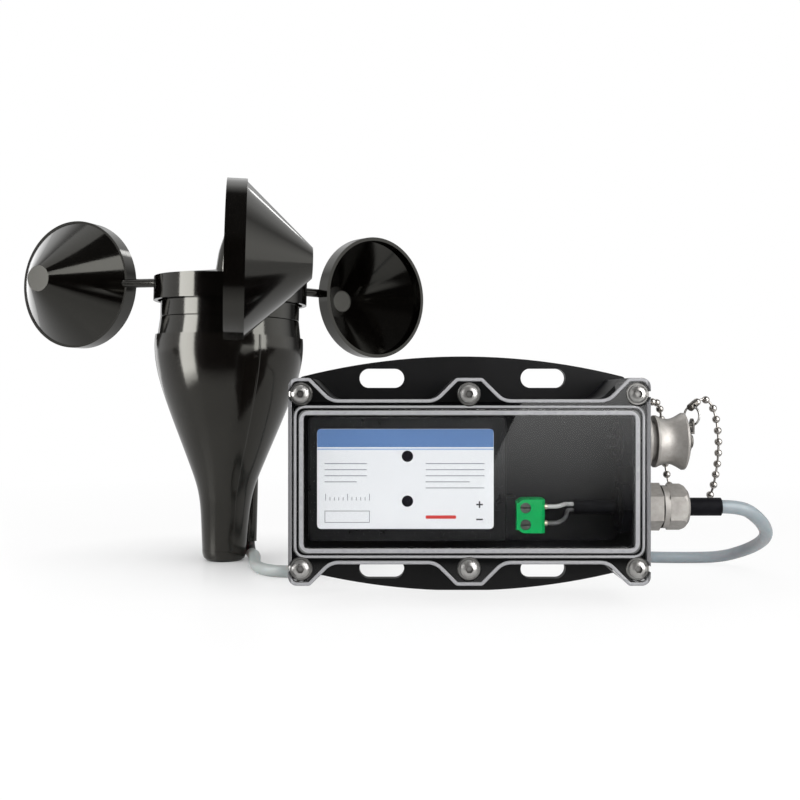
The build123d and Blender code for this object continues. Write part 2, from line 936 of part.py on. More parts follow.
def header_window():
    side = 2 * header_half_h + 0.2
    return Pos(module_right, header_z, header_middle_d) * Box(
        2 * module_skin + 1, side, header_front_d - plug_back_d + 0.2
    )


def module_back():
    return box * (module_shell(module_back_d, module_split_d, True) - header_window())


def module_front():
    cover = module_shell(module_split_d, module_front_d, False)
    cover = fillet(cover.edges().group_by(Axis.Z)[-1], 0.6) - header_window()
    for z in lens_zs:
        cover -= Pos(lens_x, z, 0) * rod(lens_r, module_front_d - 3, module_front_d + 1)
    return box * cover


def module_label():
    sheet = Pos(label_x, module_z, 0) * slab(
        label_half_w, label_half_h, label_corner_r, module_front_d, module_front_d + label_skin
    )
    for z in lens_zs:
        sheet -= Pos(lens_x, z, 0) * rod(lens_r, module_front_d - 1, module_front_d + 1)
    return box * sheet


def indicator_lenses():
    low = module_front_d - module_skin
    lens = rod(lens_r, low, module_front_d - 0.3) + rod(lens_r + 0.5, low - 0.8, low)
    return box * Compound(children=[Pos(lens_x, z, 0) * lens for z in lens_zs])


# The board is an L that leaves the battery its corner.
def circuit_board():
    half_w = module_half_w - module_skin - 0.5
    full = Pos(module_x, module_z) * Rectangle(2 * half_w, 2 * board_half_h)
    left = module_left + module_skin + 0.5
    notch_w = battery_length + 4
    notch_h = battery_z + battery_r + 1 - (module_z - board_half_h)
    notch = Pos(left + notch_w / 2, module_z - board_half_h + notch_h / 2) * Rectangle(
        notch_w, notch_h
    )
    return box * Pos(0, 0, plug_back_d - board_skin) * extrude(full - notch, amount=board_skin)


def battery():
    left = module_left + module_skin + 1
    middle = (module_back_d + module_front_d) / 2
    cell = Rot(0, 90, 0) * (
        rod(battery_r, 0, battery_length) + rod(2.5, battery_length, battery_length + 1)
    )
    return box * Pos(left, battery_z, middle) * cell


def mounting_pads():
    pad = slab(rail_w / 2 - 0.2, rail_half_h - 0.5, 0.6, module_back_d - pad_skin, module_back_d)
    return box * Compound(children=[Pos(x, module_z, 0) * pad for x in rail_xs])


# ---------------------------------------------------------------- terminals
# The header is low enough to pass under the front shell; the plug stands a little prouder.
header_front_d = module_front_d - module_skin - 0.1
header_middle_d = (plug_back_d + header_front_d) / 2


def clamp_low_d():
    return wire_depth + ferrule_r + 0.1


def plug_tip_x():
    return module_right + header_out + 0.2 - plug_tongue


def terminal_header():
    depth = header_front_d - plug_back_d
    left = module_right - module_skin - 2.0
    right = module_right + header_out
    shroud = Pos((left + right) / 2, header_z, header_middle_d) * Box(
        right - left, 2 * header_half_h, depth
    )
    socket_left = plug_tip_x() - 0.1
    socket = Pos((socket_left + right + 1) / 2, header_z, header_middle_d) * Box(
        right + 1 - socket_left, 2 * plug_half_h - 1.4, depth - 2.0
    )
    return box * (shroud - socket)


def clamp_zs():
    return [header_z + clamp_pitch / 2, header_z - clamp_pitch / 2]


def terminal_plug():
    depth = plug_front_d - plug_back_d
    face_left = module_right + header_out + 0.2
    outline = Pos((clamp_x + plug_right) / 2, header_z) * Rectangle(
        plug_right - clamp_x, 2 * plug_half_h
    )
    for z in clamp_zs():
        outline += Pos(clamp_x, z) * Circle(clamp_lobe_r)
    outline += Pos((face_left + clamp_x) / 2, header_z) * Rectangle(
        clamp_x - face_left, 2 * plug_half_h - 2
    )
    plug = Pos(0, 0, plug_back_d) * extrude(outline, amount=depth)
    right_edges = plug.edges().filter_by(Axis.Y).group_by(Axis.X)[-1]
    plug = chamfer(right_edges, 1.0)
    tongue_left = plug_tip_x()
    plug += Pos((tongue_left + clamp_x) / 2, header_z, header_middle_d) * Box(
        clamp_x - tongue_left, 2 * plug_half_h - 1.6, header_front_d - plug_back_d - 2.2
    )
    for z in clamp_zs():
        plug -= Pos(clamp_x, z, 0) * rod(clamp_r, clamp_low_d(), plug_front_d + 1)
        plug -= Pos(plug_right, z, wire_depth) * Rot(0, 90, 0) * rod(
            ferrule_r + 0.05, -ferrule_length, 1
        )
    return box * plug


def clamp_screws():
    top = plug_front_d - 0.5
    screw = rod(clamp_r, clamp_low_d(), top)
    screw -= Pos(0, 0, top) * Box(2 * clamp_r, 0.5, 1.4)
    return box * Compound(children=[Pos(clamp_x, z, 0) * screw for z in clamp_zs()])


def wire_ferrules():
    sleeve = Rot(0, 90, 0) * rod(ferrule_r, -ferrule_length + 0.1, 1.2)
    return box * Compound(
        children=[Pos(plug_right, z, wire_depth) * sleeve for z in clamp_zs()]
    )


def wire(index, name):
    z = clamp_zs()[index]
    side = 1 - 2 * index
    start_x = plug_right + 1.25
    route = [
        (start_x, z, wire_depth),
        (start_x + 3.2, z, wire_depth),
        (start_x + 6.2, (z + gland_z) / 2 + side * 0.9, (wire_depth + fitting_d) / 2),
        (inner_jacket_x - 2.0, gland_z + side * 0.9, fitting_d + 0.4),
        (inner_jacket_x - 0.15, gland_z + side * 0.85, fitting_d),
    ]
    return box * bar_along(route, wire_r, name)


# ---------------------------------------------------------------- cable gland
def gland_washer():
    return gland_frame * ring(gland_across / 2 + 0.6, panel_r, 0, gland_washer_skin)


def gland_body():
    body = hexagon(gland_across, gland_washer_skin, gland_body_end)
    body += rod(panel_r - panel_fit, -inner_stub, gland_washer_skin)
    body += rod(gland_thread_r, gland_body_end, seal_end - 0.6)
    body -= rod(cable_r + bearing_fit, -inner_stub, seal_end)
    body -= rod(gland_thread_r - 1.0, seal_start, seal_end)
    return gland_frame * body


def locknut():
    nut = Rot(0, 0, 30) * hexagon(locknut_across, -wall - locknut_skin, -wall)
    return nut - rod(panel_r - panel_fit, -wall - locknut_skin, -wall)


def gland_locknut():
    return gland_frame * locknut()


def gland_seal():
    seal_r = gland_thread_r - 1.0
    profile = [
        (cable_r, seal_start), (seal_r, seal_start), (seal_r, seal_end - 1.2),
        (seal_r - 1.0, seal_end), (cable_r, seal_end),
    ]
    return gland_frame * turned(profile)


# Ring that the nut pushes along without turning it, so that the seal isn't twisted.
def slip_ring():
    outer_r = gland_thread_r - 0.4
    return gland_frame * ring(outer_r, sleeve_r + 0.1, seal_end, seal_end + slip_ring_skin)


def gland_nut():
    hex_start = gland_nut_start + gland_nut_rim
    nut = hexagon(gland_nut_across, hex_start, gland_nut_end)
    dome_start = gland_nut_end - gland_nut_dome
    corner_r = gland_nut_across / 2 / cos(radians(30))
    dome = turned([
        (0, hex_start), (corner_r, hex_start), (corner_r, dome_start),
        (corner_r - 0.6, dome_start + gland_nut_dome * 0.45),
        (corner_r - 1.9, dome_start + gland_nut_dome * 0.85),
        (sleeve_r + 1.0, gland_nut_end), (0, gland_nut_end),
    ])
    nut = nut & dome
    nut += rod(gland_nut_rim_r, gland_nut_start, hex_start)
    nut -= rod(gland_thread_r + cap_fit, gland_nut_start, seal_end + slip_ring_skin + 0.1)
    nut -= rod(sleeve_r + 0.1, seal_end, gland_nut_end)
    return gland_frame * nut


# ---------------------------------------------------------------- data port and its dust cap
def port_shell():
    shell = hexagon(port_flange_across, 0, port_flange_skin)
    shell += rod(panel_r - panel_fit, -inner_stub, port_end)
    shell -= rod(port_recess_r, -inner_stub, port_end)
    return port_frame * shell


def port_locknut():
    return port_frame * locknut()


def port_insert():
    top = port_end - port_recess_depth
    insert = rod(port_recess_r, -inner_stub + 1, top)
    for index in range(pin_count):
        turn = Rot(0, 0, 45 + index * 360 / pin_count)
        insert += turn * Pos(pin_ring_r, 0, 0) * rod(pin_r, -inner_stub - 2, port_end - 1)
    return port_frame * insert


# The washer behind the port's thread that holds the chain by its ear.
def chain_anchor():
    outline = Circle(anchor_r) + Pos(anchor_ear / 2, 0) * Rectangle(anchor_ear, 2 * ear_r)
    outline += Pos(anchor_ear, 0) * Circle(ear_r)
    outline -= Circle(panel_r)
    outline -= Pos(anchor_ear, 0) * Circle(ear_hole_r)
    return port_frame * Pos(0, 0, port_flange_skin + 0.05) * extrude(outline, amount=anchor_skin)


def dust_cap():
    length = cap_end - cap_start
    flange_at = cap_start + length * 0.83
    side = Spline(
        (cap_rim_r, 0, cap_start + 0.7),
        (cap_waist_r + 0.15, 0, cap_start + length * 0.28),
        (cap_waist_r, 0, cap_start + length * 0.46),
        (cap_waist_r + 0.55, 0, cap_start + length * 0.62),
        (cap_flange_r, 0, flange_at),
    )
    face_h = cap_end
    nose_side = ThreePointArc(
        (cap_flange_r, 0, flange_at + 0.6),
        ((cap_flange_r + cap_flat_r) / 2 + 0.4, 0, face_h - cap_dome * 0.36),
        (cap_flat_r, 0, face_h),
    )
    outline = side + Line((cap_flange_r, 0, flange_at), (cap_flange_r, 0, flange_at + 0.6))
    outline += nose_side
    outline += Polyline(
        (cap_flat_r, 0, face_h), (0, 0, face_h), (0, 0, cap_start), (cap_rim_r, 0, cap_start),
        (cap_rim_r, 0, cap_start + 0.7),
    )
    cap = revolve(make_face(outline), Axis.Z)
    cap -= rod(panel_r - panel_fit + cap_fit, cap_start, cap_start + cap_depth)
    cap -= rod(rivet_r, cap_end - 1.4, cap_end)
    return port_frame * cap


def cap_gasket():
    top = cap_start + cap_depth
    return port_frame * rod(panel_r - 0.1, top - cap_gasket_skin, top)


def swivel_low():
    return cap_end + swivel_gap


def cap_rivet():
    head_low = swivel_low() + swivel_skin + swivel_gap
    rivet = rod(rivet_r, cap_end - 1.4, head_low)
    rivet += rod(rivet_head_r, head_low, head_low + rivet_head_h)
    rims = rivet.edges().filter_by(GeomType.CIRCLE).group_by(Axis.Z)[-1]
    return port_frame * fillet(rims, 0.5)


# Washer that turns under the rivet's head, with an ear stepped out to clear the cap's dome.
def cap_swivel():
    washer = Pos(0, 0, swivel_low()) * extrude(
        Circle(swivel_r) - Circle(rivet_r + 0.1), amount=swivel_skin
    )
    riser = swivel_step + swivel_skin
    inner = swivel_ear - ear_r
    step = Pos(inner - swivel_skin / 2, 0, swivel_low() + riser / 2) * Box(
        swivel_skin, 2 * ear_r, riser
    )
    ear = Pos(swivel_ear, 0) * Circle(ear_r)
    ear += Pos((inner + swivel_ear) / 2, 0) * Rectangle(swivel_ear - inner, 2 * ear_r)
    ear -= Pos(swivel_ear, 0) * Circle(ear_hole_r)
    ear = Pos(0, 0, swivel_low() + swivel_step) * extrude(ear, amount=swivel_skin)
    return port_frame * (washer + step + ear)


def ear_middle():
    return swivel_low() + swivel_step + swivel_skin / 2


ring_tilt = Rot(ring_turn, 0, 0)


def cap_ring():
    place = Pos(swivel_ear + ring_r, 0, ear_middle())
    return port_frame * place * ring_tilt * Torus(ring_r, ring_wire_r)


# ---------------------------------------------------------------- bead chain
# Route of the chain, from the port's washer round behind the cap and the gland to the cap's ring.
chain_route = [
    (144.3, -75.8, 60.0),
    (147.6, -71.8, 61.3),
    (150.4, -67.6, 58.8),
    (151.3, -66.2, 52.6),
    (151.9, -66.3, 45.2),
    (152.4, -67.2, 37.6),
    (153.4, -68.0, 30.8),
    (157.8, -68.4, 26.9),
    (162.2, -70.3, 30.6),
    (163.5, -73.2, 38.0),
    (164.3, -75.2, 46.0),
    (164.4, -75.9, 53.4),
    (164.1, -75.4, 58.4),
    (163.1, -74.9, 61.1),
    (160.895, -75.346, 61.453),
    (159.244, -76.459, 60.303),
]


def bead_chain():
    return bar_along(chain_route, chain_r, "chain")


# Barrel on the chain's end, with a cross hole that the ring passes through.
def chain_clasp():
    eye = (port_frame * Pos(swivel_ear + 2 * ring_r, 0, ear_middle())).position
    turn = radians(ring_turn)
    rise = radians(clasp_rise)
    along_ring = Vector(sin(turn), -cos(turn), 0)
    axis = Vector(cos(turn) * cos(rise), sin(turn) * cos(rise), sin(rise))
    place = Plane(origin=eye, x_dir=along_ring, z_dir=axis).location
    barrel = rod(clasp_r, -clasp_eye_at, clasp_length - clasp_eye_at)
    barrel = fillet(barrel.edges().filter_by(GeomType.CIRCLE), 0.3)
    return place * (barrel - Rot(0, 90, 0) * rod(clasp_eye_r, -2 * clasp_r, 2 * clasp_r))


# ---------------------------------------------------------------- all the pieces
pieces = {
    "rotor_hub": rotor_hub(),
    "rotor_shaft": rotor_shaft(),
    "ring_magnet": ring_magnet(),
    "shaft_clip": shaft_clip(),
    "housing": housing(),
    "upper_bearing": upper_bearing(),
    "lower_bearing": lower_bearing(),
    "mast_stem": mast_stem(),
    "pole_piece": pole_piece(),
    "coil_bobbin": coil_bobbin(),
    "coil_winding": coil_winding(),
    "terminal_studs": terminal_studs(),
    "ring_lugs": ring_lugs(),
    "terminal_nuts": terminal_nuts(),
    "boot": boot(),
    "mast_set_screw": mast_set_screw(),
    "sensor_leads": sensor_leads(),
    "sensor_cable": sensor_cable(),
    "cable_in_gland": cable_in_gland(),
    "cable_sleeve": cable_sleeve(),
    "box_base": box_base(),
    "clear_lid": clear_lid(),
    "lid_gasket": lid_gasket(),
    "lid_washers": lid_washers(),
    "lid_screws": lid_screws(),
    "screw_inserts": screw_inserts(),
    "module_back": module_back(),
    "module_front": module_front(),
    "module_label": module_label(),
    "indicator_lenses": indicator_lenses(),
    "circuit_board": circuit_board(),
    "battery": battery(),
    "mounting_pads": mounting_pads(),
    "terminal_header": terminal_header(),
    "terminal_plug": terminal_plug(),
    "clamp_screws": clamp_screws(),
    "wire_ferrules": wire_ferrules(),
    "signal_wire": wire(0, "signal wire"),
    "ground_wire": wire(1, "ground wire"),
    "gland_washer": gland_washer(),
    "gland_body": gland_body(),
    "gland_locknut": gland_locknut(),
    "gland_seal": gland_seal(),
    "slip_ring": slip_ring(),
    "gland_nut": gland_nut(),
    "port_shell": port_shell(),
    "port_insert": port_insert(),
    "port_locknut": port_locknut(),
    "chain_anchor": chain_anchor(),
    "dust_cap": dust_cap(),
    "cap_gasket": cap_gasket(),
    "cap_rivet": cap_rivet(),
    "cap_swivel": cap_swivel(),
    "cap_ring": cap_ring(),
    "bead_chain": bead_chain(),
    "chain_clasp": chain_clasp(),
}
for index in range(cup_count):
    pieces[f"cup_{index + 1}"] = cup(index)

for name, solid in pieces.items():
    export_step(solid, f"parts/{name}.step")
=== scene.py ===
import json
import math
import bmesh
import bpy
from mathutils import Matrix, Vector


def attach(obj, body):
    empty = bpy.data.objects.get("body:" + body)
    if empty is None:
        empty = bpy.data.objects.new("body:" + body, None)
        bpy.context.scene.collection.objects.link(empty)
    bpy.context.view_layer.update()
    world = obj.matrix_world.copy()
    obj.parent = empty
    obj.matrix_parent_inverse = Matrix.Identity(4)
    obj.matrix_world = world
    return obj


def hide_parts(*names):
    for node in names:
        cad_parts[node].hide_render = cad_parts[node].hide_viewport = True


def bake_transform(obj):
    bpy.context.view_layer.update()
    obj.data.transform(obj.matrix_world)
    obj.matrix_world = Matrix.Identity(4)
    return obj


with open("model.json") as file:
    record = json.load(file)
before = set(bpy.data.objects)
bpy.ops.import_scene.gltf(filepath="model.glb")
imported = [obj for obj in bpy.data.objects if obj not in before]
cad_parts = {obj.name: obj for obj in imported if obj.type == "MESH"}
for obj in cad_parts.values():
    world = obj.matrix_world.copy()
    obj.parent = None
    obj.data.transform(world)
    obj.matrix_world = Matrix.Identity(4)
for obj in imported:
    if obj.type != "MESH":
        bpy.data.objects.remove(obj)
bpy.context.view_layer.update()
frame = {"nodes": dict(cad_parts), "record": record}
nodes = frame["nodes"]
mm = 0.001
print("stage: frame loaded,", len(nodes), "nodes")


# camera
cameraView = {"place": (67.5, -399.0, 61.2), "lens": 46.8, "sensor": 36.0}

cameraData = bpy.data.cameras.new("camera")
cameraData.lens = cameraView["lens"]
cameraData.sensor_width = cameraView["sensor"]
cameraData.clip_start = 0.01
cameraData.clip_end = 50
camera = bpy.data.objects.new("camera", cameraData)
camera.location = Vector(cameraView["place"]) * mm
camera.rotation_euler = (math.radians(90), 0, 0)
bpy.context.scene.collection.objects.link(camera)
bpy.context.scene.camera = camera
bpy.context.scene.view_settings.view_transform = "Standard"
print("stage: camera")


# mesh and curve helpers
def addMesh(name, bm, smooth=True):
    mesh = bpy.data.meshes.new(name)
    bmesh.ops.recalc_face_normals(bm, faces=bm.faces)
    bm.to_mesh(mesh)
    bm.free()
    for face in mesh.polygons:
        face.use_smooth = smooth
    obj = bpy.data.objects.new(name, mesh)
    bpy.context.scene.collection.objects.link(obj)
    return obj


def nurbsCurve(name, points, radius=0.0, sides=6):
    data = bpy.data.curves.new(name, "CURVE")
    data.dimensions = "3D"
    data.resolution_u = 16
    data.bevel_depth = radius
    data.bevel_resolution = sides
    data.use_fill_caps = radius > 0
    spline = data.splines.new("NURBS")
    spline.points.add(len(points) - 1)
    for point, place in zip(spline.points, points):
        point.co = (*[value * mm for value in place], 1.0)
    spline.use_endpoint_u = True
    spline.order_u = 3
    obj = bpy.data.objects.new(name, data)
    bpy.context.scene.collection.objects.link(obj)
    return obj


def linePoints(curve):
    bare = curve.data.copy()
    bare.bevel_depth = 0
    probe = bpy.data.objects.new("probe", bare)
    bpy.context.scene.collection.objects.link(probe)
    bpy.context.view_layer.update()
    graph = bpy.context.evaluated_depsgraph_get()
    mesh = bpy.data.meshes.new_from_object(probe.evaluated_get(graph))
    points = [v.co.copy() for v in mesh.vertices]
    bpy.data.meshes.remove(mesh)
    bpy.data.objects.remove(probe)
    bpy.data.curves.remove(bare)
    return points


def alongLine(points, step):
    places, carried = [points[0].copy()], 0.0
    for a, b in zip(points, points[1:]):
        run = (b - a).length
        while carried + run >= step:
            t = (step - carried) / run
            a = a.lerp(b, t)
            run = (b - a).length
            carried = 0.0
            places.append(a.copy())
        carried += run
    return places


# cords
sensorCable = {
    "route": [
        (166.5, -77.5, 28.227), (173.2, -77.5, 28.227), (179.2, -74.0, 24.6),
        (185.0, -65.0, 20.0), (190.0, -51.0, 15.6), (193.2, -36.0, 11.4),
        (193.0, -22.5, 7.0), (187.0, -12.4, 2.9), (176.0, -9.0, 2.1),
        (160.0, -7.8, 2.1), (141.0, -1.5, 2.1), (120.0, 8.0, 2.1), (97.0, 14.0, 2.1),
        (75.0, 14.5, 2.1), (56.5, 7.0, 2.1), (46.0, -7.5, 2.1), (43.8, -22.0, 2.1),
        (41.0, -32.0, 2.1), (36.0, -38.2, 2.1), (29.5, -41.0, 2.1), (23.2, -39.4, 2.1),
        (18.6, -34.2, 2.1), (15.6, -26.2, 2.1), (13.7, -14.5, 2.1), (12.5, -3.0, 2.1),
        (8.51, 6.9, 1.93), (8.635, 6.9, 10.778),
    ],
    "diameter": 4.2,
    "length": 339.6,
}
cableLine = nurbsCurve("cableRoute", sensorCable["route"], sensorCable["diameter"] / 2 * mm, 8)
cablePoints = linePoints(cableLine)
bpy.context.view_layer.update()
graph = bpy.context.evaluated_depsgraph_get()
cable = bpy.data.objects.new("sensor_cable_jacket",
                             bpy.data.meshes.new_from_object(cableLine.evaluated_get(graph)))
bpy.context.scene.collection.objects.link(cable)
bpy.data.objects.remove(cableLine)
for face in cable.data.polygons:
    face.use_smooth = len(face.vertices) == 4
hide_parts("sensor_cable")
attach(cable, "base")

beadChain = {
    "route": [
        (144.3, -75.8, 60.0), (147.6, -71.8, 61.3), (150.4, -67.6, 58.8),
        (151.3, -66.2, 52.6), (151.9, -66.3, 45.2), (152.4, -67.2, 37.6),
        (154.2, -68.0, 30.4), (160.0, -68.4, 26.2), (165.6, -69.6, 29.6),
        (166.6, -72.6, 37.4), (166.9, -74.8, 45.6), (166.2, -75.7, 53.6),
        (164.8, -75.4, 59.4), (162.9, -74.9, 61.4), (160.895, -75.346, 61.453),
        (159.244, -76.459, 60.303),
    ],
    "diameter": 2.4,
    "length": 85.4,
    "pitch": 3.55,
    "linkRadius": 0.36,
    "slack": (152.6, 159.0),  # from the still strand to the one that goes with the cap
    "ballSpan": 1000,
}
chainLine = nurbsCurve("chainRoute", beadChain["route"])
chainPoints = linePoints(chainLine)
bpy.data.objects.remove(chainLine)


def addBall(bm, centre, axis, radius):
    turn = axis.to_track_quat("Z", "Y").to_matrix().to_4x4()
    rings, sides = 9, 16
    loops = []
    for i in range(1, rings):
        angle = math.pi * i / rings
        r, z = radius * math.sin(angle), radius * math.cos(angle)
        loops.append([
            bm.verts.new(centre + turn @ Vector((r * math.cos(2 * math.pi * j / sides),
                                                 r * math.sin(2 * math.pi * j / sides), z)))
            for j in range(sides)
        ])
    for upper, lower in zip(loops, loops[1:]):
        for j in range(sides):
            k = (j + 1) % sides
            bm.faces.new((upper[j], upper[k], lower[k], lower[j]))
    bm.faces.new(loops[0])
    bm.faces.new(loops[-1][::-1])


def addTube(bm, points, radius, sides=8):
    loops = []
    for i, point in enumerate(points):
        ahead = points[min(i + 1, len(points) - 1)] - points[max(i - 1, 0)]
        turn = ahead.to_track_quat("Z", "Y").to_matrix()
        loops.append([
            bm.verts.new(point + turn @ Vector((radius * math.cos(2 * math.pi * j / sides),
                                                radius * math.sin(2 * math.pi * j / sides), 0)))
            for j in range(sides)
        ])
    for a, b in zip(loops, loops[1:]):
        for j in range(sides):
            k = (j + 1) % sides
            bm.faces.new((a[j], a[k], b[k], b[j]))
    bm.faces.new(loops[0][::-1])
    bm.faces.new(loops[-1])


chainMesh = bmesh.new()
ballPlaces = alongLine(chainPoints, beadChain["pitch"] * mm)
slackFrom, slackTo = (x * mm for x in beadChain["slack"])
slackBalls = []
for i, place in enumerate(ballPlaces):
    ahead = ballPlaces[min(i + 1, len(ballPlaces) - 1)] - ballPlaces[max(i - 1, 0)]
    inSlack = slackFrom < place.x < slackTo
    ballMesh = bmesh.new() if inSlack else chainMesh
    addBall(ballMesh, place, ahead, beadChain["diameter"] / 2 * mm)
    if inSlack:
        slackBalls.append((addMesh("slack_ball_%d" % (len(slackBalls) + 1), ballMesh), place))
addTube(chainMesh, chainPoints, beadChain["linkRadius"] * mm)
chain = addMesh("ball_chain", chainMesh)
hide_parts("bead_chain")
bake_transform(chain)
for ball, place in slackBalls:  # each slack ball is baked in place as a mesh of its own
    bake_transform(ball)
print("stage: cords,", len(ballPlaces), "balls")


# material helpers
def newMaterial(name):
    made = bpy.data.materials.new(name)
    made.use_nodes = True
    tree = made.node_tree
    return made, tree, tree.nodes["Principled BSDF"]


def addNode(tree, kind, inputs=None, **settings):
    made = tree.nodes.new(kind)
    for key, value in settings.items():
        setattr(made, key, value)
    for key, value in (inputs or {}).items():
        if isinstance(value, bpy.types.NodeSocket):
            tree.links.new(value, made.inputs[key])
        else:
            made.inputs[key].default_value = value
    return made


def math1(tree, operation, a, b=0.0, c=0.0, clamp=False):
    return addNode(tree, "ShaderNodeMath", {0: a, 1: b, 2: c}, operation=operation,
                   use_clamp=clamp).outputs[0]


def objectPlace(tree, stretch=(1, 1, 1)):
    where = addNode(tree, "ShaderNodeTexCoord").outputs["Object"]
    if stretch == (1, 1, 1):
        return where
    return addNode(tree, "ShaderNodeMapping", {"Vector": where, "Scale": stretch}).outputs[0]


def noiseAt(tree, perMetre, detail=3.0, rough=0.55, stretch=(1, 1, 1)):
    return addNode(tree, "ShaderNodeTexNoise", {
        "Vector": objectPlace(tree, stretch), "Scale": perMetre, "Detail": detail,
        "Roughness": rough,
    }).outputs[0]


def between(tree, amount, low, high, fromLow=0.3, fromHigh=0.7):
    return addNode(tree, "ShaderNodeMapRange", {
        "Value": amount, "From Min": fromLow, "From Max": fromHigh, "To Min": low,
        "To Max": high,
    }, clamp=True).outputs[0]


def mixColour(tree, amount, a, b):
    made = addNode(tree, "ShaderNodeMix", data_type="RGBA")
    for index, value in ((0, amount), (6, a), (7, b)):
        if isinstance(value, bpy.types.NodeSocket):
            tree.links.new(value, made.inputs[index])
        else:
            made.inputs[index].default_value = value if index == 0 else (*value, 1.0)
    return made.outputs[2]


def bumped(tree, height, depth, under=None):
    inputs = {"Height": height, "Distance": depth, "Strength": 1.0}
    if under is not None:
        inputs["Normal"] = under
    return addNode(tree, "ShaderNodeBump", inputs).outputs[0]


def setOn(shader, values):
    for key, value in values.items():
        shader.inputs[key].default_value = value


# One recipe for moulded, turned and cast pieces: two colours in slow patches, a roughness that
# drifts with handling, a fine grain and a coarser unevenness in the surface; some pieces also
# take painted shade in crevices, at grazing edges and inside the box.
# Painted shade: these colours and fades darken crevices, grazing edges and the inside of the box,
# where shade falls; the speck fade is for real specks.
paintedShadeAndSpecks = {
    "paintedCreviceShadeColour": (0.025, 0.023, 0.021), "paintedCreviceShadeShare": 0.85, "paintedCreviceShadeFade": (0.25, 0.85),
    "edgeColour": (0.04, 0.038, 0.035), "edgeFade": (0.5, 0.92),
    "paintedInsideShadeColour": (0.006, 0.006, 0.006), "paintedInsideShadeFade": 0.2,
    "speckFade": (0.68, 0.74),
}


def makeFinish(name, look):
    made, tree, shader = newMaterial(name)
    stretch = look.get("stretch", (1, 1, 1))
    patches = between(tree, noiseAt(tree, look["patchSize"], 3, 0.6), 0, 1)
    colour = mixColour(tree, patches, look["colour"], look["second"])
    if "speck" in look:
        specks = between(tree, noiseAt(tree, look["speckSize"], 1, 0.5), 0, 1,
                        *paintedShadeAndSpecks["speckFade"])
        colour = mixColour(tree, specks, colour, look["speck"])
    # Painted shade: crevices found by occlusion are painted dark.
    if "paintedCreviceShadeReach" in look:
        hidden = addNode(tree, "ShaderNodeAmbientOcclusion", {"Distance": look["paintedCreviceShadeReach"] * mm},
                         samples=6).outputs["AO"]
        share = between(tree, hidden, paintedShadeAndSpecks["paintedCreviceShadeShare"], 0, *paintedShadeAndSpecks["paintedCreviceShadeFade"])
        colour = mixColour(tree, share, colour, paintedShadeAndSpecks["paintedCreviceShadeColour"])
    # Painted shade: the colour darkens where the surface turns away from the view, at its edges.
    if "edge" in look:
        facing = addNode(tree, "ShaderNodeLayerWeight", {"Blend": 0.5}).outputs["Facing"]
        share = between(tree, facing, 0, look["edge"], *paintedShadeAndSpecks["edgeFade"])
        colour = mixColour(tree, share, colour, paintedShadeAndSpecks["edgeColour"])
    # Painted shade: metal at X below the given limit, inside the box, is painted near black for
    # the shade there.
    if "paintedShadeInsideBox" in look:
        along = addNode(tree, "ShaderNodeSeparateXYZ", {0: objectPlace(tree)}).outputs[0]
        inside = between(tree, along, 1, 0, (look["paintedShadeInsideBox"] - paintedShadeAndSpecks["paintedInsideShadeFade"]) * mm,
                         look["paintedShadeInsideBox"] * mm)
        colour = mixColour(tree, inside, colour, paintedShadeAndSpecks["paintedInsideShadeColour"])
    tree.links.new(colour, shader.inputs["Base Color"])
    wear = noiseAt(tree, look["wearSize"], 5, 0.65, stretch)
    tree.links.new(between(tree, wear, *look["roughness"]), shader.inputs["Roughness"])
    normal = bumped(tree, noiseAt(tree, look["grainSize"], 2, 0.5, stretch), look["grainDepth"])
    normal = bumped(tree, noiseAt(tree, look["waveSize"], 1, 0.5), look["waveDepth"], normal)
    tree.links.new(normal, shader.inputs["Normal"])
    setOn(shader, look.get("fixed", {}))
    return made


